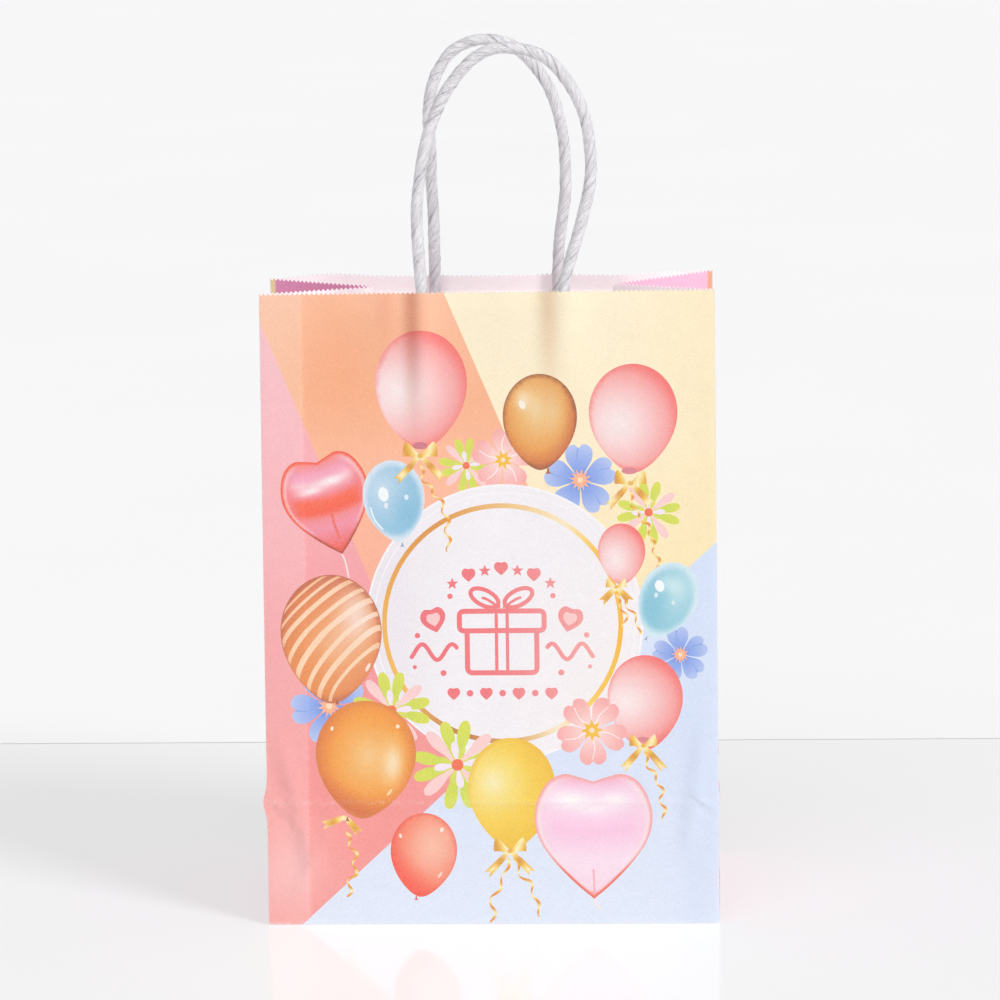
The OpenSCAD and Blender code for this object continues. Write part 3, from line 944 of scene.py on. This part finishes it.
def painted_leg_shade(x, u):
    """Painted shade: the print darkened where the front panel bends over the handle legs, standing for the
    shade in those folds.
    """
    fold_shade = 0.17 * gauss(x, -24.4, 2.6) * ease(u, 148, 200) + 0.07 * gauss(x, -33.0, 3.0) * ease(u, 185, 205)
    fold_shade += 0.12 * gauss(x, 20.4, 3.0) * ease(u, 165, 206)
    return 1 - fold_shade[:, None] * (0.45, 0.95, 1.15)


def print_colours():
    corners = TRIANGLES.ravel()
    tops = np.repeat(TOPS, 3)
    x, u = PLACES[corners, 0], PLACES[corners, 1]
    out = np.zeros((len(corners), 3))
    for top in np.unique(tops):
        chosen = tops == top
        paint = ground_pink if top == 0 else art.shapes[top - 1][1]
        out[chosen] = paint(x[chosen], u[chosen])
    # The print is multiplied by painted shade over the handle legs' folds.
    return out * painted_leg_shade(x, u)


def fold_wear(x, u):
    wear = 0.30 * gauss(HALF_W - np.abs(x), 0, 0.5) + 0.22 * gauss(u, FOLD_U, 0.6) + 0.45 * gauss(u, 0, 0.7)
    return np.clip(wear + 0.5 * ease(u, BAG_H - 0.9, BAG_H), 0, 1)


def make_panel(face, materials):
    n = len(PLACES)
    x, u = PLACES[:, 0], PLACES[:, 1]
    inner_scale = 1 - 0.25 / HALF_W
    verts = np.concatenate([on_panel(face, x, u, 0), on_panel(face, x * inner_scale, u, PAPER)])
    faces = [tuple(t) for t in TRIANGLES]
    kinds = [0] * len(faces)
    faces += [(n + c, n + b, n + a) for a, b, c in TRIANGLES]
    kinds += [1] * len(TRIANGLES)
    edges = dict.fromkeys(edge for a, b, c in TRIANGLES for edge in ((a, b), (b, c), (c, a)))
    for a, b in edges:
        if (b, a) not in edges:
            faces.append((b, a, n + a, n + b))
            kinds.append(1)
    obj = add_object(f"bag_{face}", verts, faces, materials, kinds, sharp=50)
    colours = np.ones((len(obj.data.loops), 3)) * rgb(BARE_PAPER)
    colours[:3 * len(TRIANGLES)] = print_colours()
    set_colours(obj, colours)
    set_values(obj, "Wear", np.concatenate([fold_wear(x, u)] * 2))
    return obj


# ---------------------------------------------------------------- gussets, base, lap and patches
def word_of(side):
    return "right" if side > 0 else "left"


def gusset_crease(side, us):
    """The middle crease: at the base's height, then tucked in as deep as the paper lets it."""
    front, back = (on_panel(face, side * world_side(face) * HALF_W, us, EDGE_DEPTH, rough=0)[:, 1] / MM
                   for face in ("front", "back"))
    half_gaps = (back - front) / 2
    full = np.sqrt(np.maximum(HALF_D ** 2 - half_gaps ** 2, 0)) - 0.2
    share = ease(us, HALF_D, HALF_D + 44)
    tuck = np.where(us < HALF_D, 0.3 * us / HALF_D, 0.3 * (1 - share) + full * share)
    z = us * np.interp(us, (0, HALF_D, BAG_H), (1, 1, COS - 0.003))
    return np.stack([side * (HALF_W - tuck), (front + back) / 2, z], axis=-1)


def gusset_lift(side, s, u, vs, bow_out):
    """How far one row of a gusset half bends out of the straight line from its edge to the crease."""
    arch = np.sin(math.pi * vs / HALF_D)
    lift = bow_out * arch
    lift = lift + 0.35 * gauss(vs, u, 1.3) * (1 - ease(u, HALF_D - 4, HALF_D)) * arch
    lift = lift + 0.30 * gauss(u, FOLD_U, 0.8) * arch
    return lift + 0.22 * np.sin(u / 15.0 + side * 0.8) * arch * np.sin(vs / 7.0 + s)


def gusset_colours(obj, side, edge_x, u, v):
    """The pink print with painted shade at the left gusset's top and painted light at the right one's, a
    strip of the panel's print along the edge, and bare paper inside.
    """
    # Painted shade and light: the left gusset's top is darker and the right one's paler, for the narrow and
    # wide gaps at the mouth.
    top = "E48FB9" if side < 0 else "F8BEDA"
    paint = ramp(u, (0, "F2A3B4"), (30, "F3A9C4"), (60, "F4AFCE"), (150, "F3A8CC"), (205, top))
    near = v < 1.7
    paint[near] = ground_strip(edge_x, u)[near]
    both = np.concatenate([paint, np.tile(rgb(BARE_PAPER), (len(v), 1))])
    corner_verts = np.zeros(len(obj.data.loops), int)
    obj.data.loops.foreach_get("vertex_index", corner_verts)
    set_colours(obj, both[corner_verts])


def gusset_wear(u, v):
    """Wear along the edge, the middle crease, the foot's folds and the crease above the base."""
    wear = 0.25 * gauss(v, 0, 0.6) + 0.35 * gauss(v, HALF_D, 0.6)
    wear = wear + 0.3 * gauss(v - u, 0, 0.8) * (u < HALF_D) + 0.2 * gauss(u, FOLD_U, 0.7)
    return np.clip(wear, 0, 1)


def blend_gusset(obj, side, face):
    """Bake the half's transform into its mesh."""
    f"{word_of(side)}_gusset_{face}"
    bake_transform(obj)


def make_gusset(name, side, face, materials):
    s = world_side(face)
    us = np.concatenate([np.arange(0.9, FOLD_U - 1, 1.6), np.arange(FOLD_U - 1, FOLD_U + 1.2, 0.5),
                         np.arange(FOLD_U + 2.2, BAG_H - 1.6, 1.6), [BAG_H]])
    vs = np.arange(0, GUSSET_COLUMNS + 1) * HALF_D / GUSSET_COLUMNS
    edge_x = side * s * HALF_W
    flat = on_panel(face, edge_x, us, EDGE_DEPTH, rough=0) / MM
    edge = on_panel(face, edge_x, us, EDGE_DEPTH) / MM
    crease = gusset_crease(side, us)
    chord = (crease - edge) * (1 - 0.001)
    length = np.hypot(chord[:, 0], chord[:, 1])
    normal = side * s * np.stack([chord[:, 1], -chord[:, 0], np.zeros(len(us))], axis=-1) / length[:, None]
    bow_out = 0.05 * np.sqrt(0.375 * length * np.clip(HALF_D - length, 0, 6))
    grid = []
    for row, u in enumerate(us):
        lift = gusset_lift(side, s, u, vs, bow_out[row])
        grid.append(edge[row] + chord[row] * (vs / HALF_D)[:, None] + normal[row] * lift[:, None])
    outer = np.array(grid)
    outer[-1, :, 2] -= TOOTH_H * (np.arange(len(vs)) % 2)
    pull = np.clip(vs / 0.8, 0.4, 1)
    inner = outer - normal[:, None, :] * PAPER * pull[None, :, None]
    if side * s < 0:
        outer, inner, vs = outer[:, ::-1], inner[:, ::-1], vs[::-1]
    obj = sheet_grid(name, outer * MM, inner * MM, materials)
    v, u = np.tile(vs, len(us)), np.repeat(us, len(vs))
    gusset_colours(obj, side, edge_x, u, v)
    set_values(obj, "Wear", np.concatenate([gusset_wear(u, v)] * 2))
    blend_gusset(obj, side, face)
    return obj


def ground_strip(x, u):
    """The panel's print where it runs over the fold at its edge: a field and the one above it."""
    field, change_u, above = (ground_pink, 200, "F4A77C") if x < 0 else (ground_blue, 127, "FBDFA4")
    out = field(np.full(len(u), x), u)
    out[u > change_u] = rgb(above)
    return out


def make_layer(name, face, x0, x1, u0, u1, depth, materials, toothed=False, tents=None):
    """A glued layer on a panel's inner side, which follows the panel's relief and arches over the tents."""
    columns = 2 * round((x1 - x0) / TOOTH_PITCH) if toothed else int((x1 - x0) / 0.8)
    xs = np.linspace(x0, x1, columns + 1)
    us = np.linspace(u0, u1, int((u1 - u0) / 1.5) + 1)
    grid_x, grid_u = np.meshgrid(xs, us)
    if toothed:
        grid_u[-1] -= TOOTH_H * (np.arange(len(xs)) % 2)
    depths = np.full(grid_x.shape, float(depth))
    if tents:
        for place in tents:
            arch = 1 - ease(np.abs(grid_x - place), CORD_R * 0.75, CORD_R * 2.1)
            arch = arch * ease(grid_u, LEG_US[0] - 5, LEG_US[0] - 1)
            depths = np.maximum(depths, depth + (2 * CORD_R + 0.15) * arch)
        depths += 0.12 * np.sin(grid_x / 6.0) * np.sin(grid_u / 5.0)
    top = on_panel(face, grid_x, grid_u, depths)
    low = on_panel(face, grid_x, grid_u, depths + PAPER * 0.95)
    return sheet_grid(name, top, low, materials)


def make_base_end(name, side, materials):
    """The folded end of the base: a triangle over the flaps, and its rim inside the gusset's foot."""
    low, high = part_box(f"base_{word_of(side)}_tuck")
    reach = max(abs(low[0]), abs(high[0])) / MM - 0.35
    edge = high[1] / MM
    level = low[2] / MM
    rim, rim_rows = 2.4, 4
    ys = np.linspace(-edge + 0.4, edge - 0.4, 61)
    across = np.concatenate([np.linspace(0, 1, 15)[:-1], [0.985, 1.0]])
    outer, inner = [], []
    for y in ys:
        inset = max(edge - abs(y), 0.6)
        row_low, row_high = [], []
        for t in across:
            x = reach - inset + inset * t
            z = level + 0.05 + 0.10 * math.sin(y / 9.0) ** 2 * (1 - t)
            row_low.append((side * x, y, z))
            row_high.append((side * min(x, reach - PAPER), y, z + PAPER))
        taper = min(1.0, (edge - abs(y)) / 6.0)
        for k in range(1, rim_rows + 1):
            z = level + 0.35 + rim * taper * k / rim_rows
            row_low.append((side * (reach + 0.03 * k), y, z))
            row_high.append((side * (reach + 0.03 * k - PAPER), y, z))
        outer.append(row_low)
        inner.append(row_high)
    outer, inner = np.array(outer) * MM, np.array(inner) * MM
    if side < 0:
        outer, inner = outer[:, ::-1], inner[:, ::-1]
    outer, inner = outer[::-1], inner[::-1]
    return sheet_grid(name, outer, inner, materials)


# ---------------------------------------------------------------- the twisted handles
def cord_line(face, route):
    """The handle's middle line: up one leg inside the patches, round the loop and down the other leg."""
    s = world_side(face)

    def leg(x):
        return on_panel(face, s * x, np.array(LEG_US), CORD_DEPTH) / MM

    def pushed(x):
        return float(skew(face, s * x, BAG_H) + relief(face, s * x, BAG_H))

    feet = (route[0][0], route[-1][0])

    def loop(x, height):
        out = np.interp(x, feet, [pushed(foot) for foot in feet])
        return np.array([x, s * (-BEND_Y - out * COS), BEND_Z + height])

    up, down = leg(route[0][0]), leg(route[-1][0])[::-1]
    points = list(up) + [loop(*place) for place in route] + list(down)
    return smooth_line(points, 0.7)


# The twisted paper's creases: angle round the cord, wander, depth and width
GROOVES = ((0.0, 0.3, 0.15, 0.16), (2.3, 0.9, 0.09, 0.18), (-1.9, 0.8, 0.11, 0.14), (1.1, 1.3, 0.07, 0.16))


def cord_surface(a, twist, s, phases):
    """The cord's radius at an angle round it and a run along it, and how deep in a crease that is, which
    sets the shade painted into the crease.
    """
    r, shade_in_crease = 1.0, 0.0
    for n, (lead, drift, depth, wide) in enumerate(GROOVES):
        off = twist + lead + drift * math.sin(s / (5 + 2 * n) + phases[n])
        off = (off + math.pi) % (2 * math.pi) - math.pi
        cut = math.exp(-(off / wide) ** 2) * (0.62 + 0.38 * math.sin(s / (3.7 + n) + phases[n + 2]))
        r += 0.3 * depth * math.tanh(off / 0.2) * math.exp(-abs(off) / 0.9) - depth * cut
        shade_in_crease += 8 * depth * cut
    r *= CORD_R
    r += 0.05 * math.sin(5 * twist + phases[0]) * math.sin(s / 4.1 + phases[1])
    r += 0.035 * math.sin(9 * twist + phases[2]) * math.sin(s / 2.3 + phases[3])
    r += 0.06 * math.sin(s / 7.7 + phases[4]) + 0.05 * math.sin(s / 3.1 + a + phases[5]) + 0.05
    return r, min(1.0, shade_in_crease)


def cord_faces(rows):
    """A tube's faces: quads between its rows and a fan over each end, to the two last points."""
    ring = range(CORD_SIDES)
    faces = []
    for k in range(rows - 1):
        for j in ring:
            a, b = k * CORD_SIDES + j, k * CORD_SIDES + (j + 1) % CORD_SIDES
            faces.append((a, b, b + CORD_SIDES, a + CORD_SIDES))
    first_hub = rows * CORD_SIDES
    last = first_hub - CORD_SIDES
    faces += [((j + 1) % CORD_SIDES, j, first_hub) for j in ring]
    faces += [(last + j, last + (j + 1) % CORD_SIDES, first_hub + 1) for j in ring]
    return faces


def make_cord(name, face, route, seed, materials):
    line = cord_line(face, route)
    run = run_along(line)
    side = np.array([0.0, 1.0, 0.0])
    phases = np.random.default_rng(seed).uniform(0, 2 * math.pi, 8)
    verts, crease_shades, lay = [], [], []
    for middle, ahead, s in zip(line, headings(line), run):
        side = side - ahead * side.dot(ahead)
        side /= np.linalg.norm(side)
        other = np.cross(ahead, side)
        for j in range(CORD_SIDES):
            a = 2 * math.pi * j / CORD_SIDES
            twist = a - 2 * math.pi * s / TWIST_PITCH
            r, shade_in_crease = cord_surface(a, twist, s, phases)
            verts.append(middle + (side * math.cos(a) + other * math.sin(a)) * r)
            crease_shades.append(shade_in_crease)
            lay.append((math.cos(twist), math.sin(twist), s * 0.07))
    for k in (0, -1):
        verts.append(line[k])
        crease_shades.append(0.3)
        lay.append((0.0, 0.0, run[k] * 0.07))
    obj = add_object(name, np.array(verts) * MM, cord_faces(len(line)), materials, sharp=60)
    set_values(obj, "CreaseShade", crease_shades)
    layer = obj.data.attributes.new("Lay", "FLOAT_VECTOR", "POINT")
    layer.data.foreach_set("vector", np.array(lay).ravel())
    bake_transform(obj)
    return obj, run[-1]


# ---------------------------------------------------------------- materials
class Nodes:
    """A new material with its Principled shader and short calls for the nodes used here."""

    def __init__(self, name):
        self.material = bpy.data.materials.new(name)
        self.material.use_nodes = True
        self.tree = self.material.node_tree
        self.shader = self.tree.nodes["Principled BSDF"]

    def add(self, kind, **settings):
        node = self.tree.nodes.new(kind)
        for key, value in settings.items():
            setattr(node, key, value)
        return node

    def link(self, out, target):
        self.tree.links.new(out, target)

    def place(self):
        return self.add("ShaderNodeTexCoord").outputs["Object"]

    def noise(self, vector, scale, low, high, detail=3.0, stretch=None):
        """Noise whose middle range is mapped onto low to high."""
        if stretch:
            mapping = self.add("ShaderNodeMapping")
            mapping.inputs["Scale"].default_value = stretch
            self.link(vector, mapping.inputs["Vector"])
            vector = mapping.outputs["Vector"]
        node = self.add("ShaderNodeTexNoise")
        node.inputs["Scale"].default_value = scale
        node.inputs["Detail"].default_value = detail
        self.link(vector, node.inputs["Vector"])
        spread = self.add("ShaderNodeMapRange")
        spread.inputs["From Min"].default_value = 0.3
        spread.inputs["From Max"].default_value = 0.7
        spread.inputs["To Min"].default_value = low
        spread.inputs["To Max"].default_value = high
        self.link(node.outputs["Fac"], spread.inputs["Value"])
        return spread.outputs["Result"]

    def math(self, operation, a, b):
        node = self.add("ShaderNodeMath", operation=operation)
        for value, socket in ((a, node.inputs[0]), (b, node.inputs[1])):
            if isinstance(value, (int, float)):
                socket.default_value = value
            else:
                self.link(value, socket)
        return node.outputs["Value"]

    def mix(self, a, b, factor, blend_type="MIX"):
        node = self.add("ShaderNodeMix", data_type="RGBA", blend_type=blend_type)
        for value, socket in ((factor, node.inputs[0]), (a, node.inputs[6]), (b, node.inputs[7])):
            if isinstance(value, str):
                socket.default_value = (*linear(rgb(value)), 1)
            elif isinstance(value, (int, float)):
                socket.default_value = value
            else:
                self.link(value, socket)
        return node.outputs[2]

    def attribute(self, name):
        return self.add("ShaderNodeAttribute", attribute_name=name)

    def bump(self, height, distance, strength, below=None):
        node = self.add("ShaderNodeBump")
        node.inputs["Distance"].default_value = distance
        node.inputs["Strength"].default_value = strength
        self.link(height, node.inputs["Height"])
        if below is not None:
            self.link(below, node.inputs["Normal"])
        return node.outputs["Normal"]


def finish_paper(m, colour, roughness, bump_strength, specular=0.4):
    """Fibre, mottle, roughness and bump that every paper here shares. Some light goes through it."""
    place = m.place()
    m.shader.inputs["Subsurface Weight"].default_value = 0.3
    m.shader.inputs["Subsurface Radius"].default_value = (1.0, 0.85, 0.85)
    m.shader.inputs["Subsurface Scale"].default_value = 0.001
    m.link(colour, m.shader.inputs["Base Color"])
    m.link(m.noise(place, 700, roughness - 0.06, roughness + 0.08), m.shader.inputs["Roughness"])
    m.shader.inputs["Specular IOR Level"].default_value = specular
    fibres = m.noise(place, 2600, 0, 1, 4.0, (1.0, 1.0, 0.45))
    slow = m.noise(place, 260, 0, 1, 2.0)
    low = m.bump(slow, 0.00012, bump_strength)
    m.link(m.bump(fibres, 0.00004, bump_strength * 1.2, low), m.shader.inputs["Normal"])
    return m.material


def printed_paper(name, roughness, coat):
    """The print's colours with their painted shade and light, grain, pale specks and worn folds, under a
    thin gloss.
    """
    m = Nodes(name)
    place = m.place()
    # The print's colours carry painted shade over the handle legs and painted shade and light at the
    # gussets' tops.
    ink_and_shading = m.attribute("PrintAndPaintedShading").outputs["Color"]
    grain = m.math("MULTIPLY", m.noise(place, 2100, 0.935, 1.045), m.noise(place, 180, 0.99, 1.01, 2.0))
    ink_and_shading = m.mix(ink_and_shading, grain, 1.0, "MULTIPLY")
    specks = m.noise(place, 3300, 0.0, 0.10, 1.0)
    ink_and_shading = m.mix(ink_and_shading, "FFFFFF", specks)
    wear = m.math("MULTIPLY", m.attribute("Wear").outputs["Fac"], m.noise(place, 900, -0.25, 0.75, 4.0))
    wear = m.math("MAXIMUM", wear, 0.0)
    ink_and_shading = m.mix(ink_and_shading, "FAF5F3", wear)
    m.shader.inputs["Coat Weight"].default_value = coat
    m.shader.inputs["Coat Roughness"].default_value = 0.3
    return finish_paper(m, ink_and_shading, roughness, 0.25)


def plain_paper(name, pale, deep, roughness, bump, glow):
    """Unprinted paper. Its faint glow stands for the light that comes through the bag's walls."""
    m = Nodes(name)
    place = m.place()
    colour = m.mix(pale, deep, m.noise(place, 420, 0.1, 0.7, 4.0))
    colour = m.mix(colour, deep, m.noise(place, 2400, 0.0, 0.35, 2.0, (1.0, 1.0, 0.3)))
    m.shader.inputs["Emission Color"].default_value = (1.0, 0.89, 0.92, 1)
    m.shader.inputs["Emission Strength"].default_value = glow
    return finish_paper(m, colour, roughness, bump, 0.25)


def base_paper():
    """The outer flap of the base carries the panels' salmon and pale blue."""
    m = Nodes("base_print")
    place = m.place()
    axes = m.add("ShaderNodeSeparateXYZ")
    m.link(place, axes.inputs[0])
    tilt = m.math("ADD", axes.outputs["X"], m.math("MULTIPLY", axes.outputs["Y"], -0.9))
    edge = m.math("GREATER_THAN", tilt, -0.030)
    colour = m.mix("F6A3A4", "D8E2F6", edge)
    colour = m.mix(colour, m.noise(place, 1900, 0.955, 1.03, 2.0), 1.0, "MULTIPLY")
    rub = m.noise(place, 55, -0.5, 0.5, 5.0)
    colour = m.mix(colour, "EFEAE8", m.math("MAXIMUM", rub, 0.0))
    return finish_paper(m, colour, 0.38, 0.3)


def cord_paper():
    """Twisted white paper: diagonal wrinkles, painted shade in the grooves and fibres."""
    m = Nodes("twisted_paper")
    lay = m.attribute("Lay").outputs["Vector"]
    wrinkles = m.noise(lay, 3.2, 0.0, 1.0, 5.0)
    fine = m.noise(lay, 11.0, 0.0, 1.0, 3.0)
    colour = m.mix("FDFCFD", "E6E2EA", m.math("MULTIPLY", wrinkles, 0.7))
    colour = m.mix(colour, "F8F6F9", m.math("MULTIPLY", fine, 0.35))
    # Painted shade: grey-violet in the twist's creases, deeper where the crease is deeper.
    colour = m.mix(colour, "8F869A", m.math("MULTIPLY", m.attribute("CreaseShade").outputs["Fac"], 0.5))
    m.link(colour, m.shader.inputs["Base Color"])
    m.link(m.noise(lay, 4.0, 0.5, 0.68), m.shader.inputs["Roughness"])
    m.shader.inputs["Specular IOR Level"].default_value = 0.3
    low = m.bump(wrinkles, 0.0007, 0.8)
    m.link(m.bump(fine, 0.00012, 0.6, low), m.shader.inputs["Normal"])
    return m.material


def floor_material(name, colour, roughness, specular, glow):
    """A pale surface that stays nearly as bright as the backdrop."""
    m = Nodes(name)
    place = m.place()
    m.link(m.mix(colour, "FFFFFF", m.noise(place, 3, 0.0, 0.05, 2.0)), m.shader.inputs["Base Color"])
    m.link(m.noise(place, 40, roughness, roughness + 0.05), m.shader.inputs["Roughness"])
    m.shader.inputs["Specular IOR Level"].default_value = specular
    m.shader.inputs["Emission Color"].default_value = (1, 1, 1, 1)
    m.shader.inputs["Emission Strength"].default_value = glow
    return m.material


# ---------------------------------------------------------------- put the bag together
PRINT = printed_paper("printed_paper", 0.36, 0.12)
GUSSET_PRINT = printed_paper("gusset_print", 0.36, 0.12)
LINING = plain_paper("lining_paper", "FFF6F8", "FBEAEF", 0.62, 0.4, 0.10)
PATCH = plain_paper("patch_paper", "FCF4F4", "F4EAEA", 0.7, 0.6, 0.07)
CORD = cord_paper()
BASE_PRINT = base_paper()


def add_side(face):
    """One printed panel with its gusset halves, its patches and its handle."""
    panel = make_panel(face, [PRINT, LINING])
    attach(panel, f"{face}_panel")
    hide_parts(f"{face}_panel")
    for side, word in ((-1, "left"), (1, "right")):
        half = make_gusset(f"gusset_{word}_{face}", side, face, [GUSSET_PRINT, LINING])
        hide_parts(f"{word}_gusset_{face}")
    route = FRONT_ROUTE if face == "front" else BACK_ROUTE
    legs = [world_side(face) * route[k][0] for k in (0, -1)]
    for kind, depth, tents in (("outer", PAPER + GLUE_GAP, None), ("inner", 2 * PAPER + GLUE_GAP, legs)):
        patch = make_layer(f"patch_{face}_{kind}", face, -PATCH_HALF, PATCH_HALF, PATCH_LOW_U, PATCH_TOP_U,
                           depth, [PATCH, PATCH], tents=tents)
        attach(patch, f"{face}_panel")
        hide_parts(f"{face}_patch_{kind}")
    cord, length = make_cord(f"cord_{face}", face, route, 3 if face == "front" else 11, [CORD])
    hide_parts(f"{face}_handle", f"{face}_handle_legs")
    print(f"{face} handle cord: {length:.0f} mm")


def add_lap():
    """The glued lap inside the front panel, with the mouth's teeth along its top."""
    lap = make_layer("seam_lap", "front", -HALF_W + 0.6, LAP_X, 2.0, BAG_H, PAPER + GLUE_GAP,
                     [LINING, LINING], toothed=True)
    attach(lap, "front_panel")
    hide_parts("glue_lap")


def add_base():
    """The folded ends as new pieces. The two flaps keep their shape from the frame."""
    for side, word in ((-1, "left"), (1, "right")):
        end = make_base_end(f"base_end_{word}", side, [LINING, LINING])
        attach(end, "base")
        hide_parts(f"base_{word}_tuck", f"{word}_gusset_foot")
    for node, material in (("base_outer_flap", BASE_PRINT), ("base_inner_flap", LINING)):
        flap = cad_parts[node]
        flap.data.materials.clear()
        flap.data.materials.append(material)


add_side("front")
add_side("back")
add_lap()
add_base()


# ---------------------------------------------------------------- floor, backdrop and light
FAR = 60
TABLE_EDGE = 0.188
TABLE_GAP = 0.0008
FLOOR_Z = -0.0002


def add_plane(name, y0, y1, z, material):
    mesh = bpy.data.meshes.new(name)
    mesh.from_pydata([(-FAR, y0, z), (FAR, y0, z), (FAR, y1, z), (-FAR, y1, z)], [], [(0, 1, 2, 3)])
    mesh.materials.append(material)
    obj = bpy.data.objects.new(name, mesh)
    bpy.context.scene.collection.objects.link(obj)


def add_floor():
    """A glossy table top, the ground behind its far edge, and what shows in the gap between them."""
    add_plane("floor", -FAR, TABLE_EDGE, FLOOR_Z, floor_material("floor_gloss", "BCBCBE", 0.10, 0.3, 0.45))
    rear = floor_material("floor_rear", "D0D0D2", 0.5, 0.2, 0.40)
    add_plane("floor_rear", TABLE_EDGE + TABLE_GAP, FAR, FLOOR_Z, rear)
    gap = floor_material("floor_gap", "C9D3DE", 0.6, 0.2, 0.8)
    add_plane("floor_gap", TABLE_EDGE - 0.01, TABLE_EDGE + 0.01, -0.004, gap)


def add_sun(name, place, strength, spread):
    data = bpy.data.lights.new(name, "SUN")
    data.energy = strength
    data.angle = math.radians(spread)
    lamp = bpy.data.objects.new(name, data)
    lamp.matrix_world = Vector(place).to_track_quat("Z", "Y").to_matrix().to_4x4()
    bpy.context.scene.collection.objects.link(lamp)


def add_light():
    world = bpy.data.worlds.new("world")
    world.use_nodes = True
    background = world.node_tree.nodes["Background"]
    background.inputs["Color"].default_value = (1.0, 1.0, 1.0, 1)
    background.inputs["Strength"].default_value = 0.42
    bpy.context.scene.world = world
    add_sun("key", (1.25, -0.75, 1.0), 1.6, 18)
    add_sun("fill", (-0.35, -1.0, 0.8), 0.8, 60)
    bpy.context.scene.view_settings.view_transform = "Standard"


add_floor()
add_light()
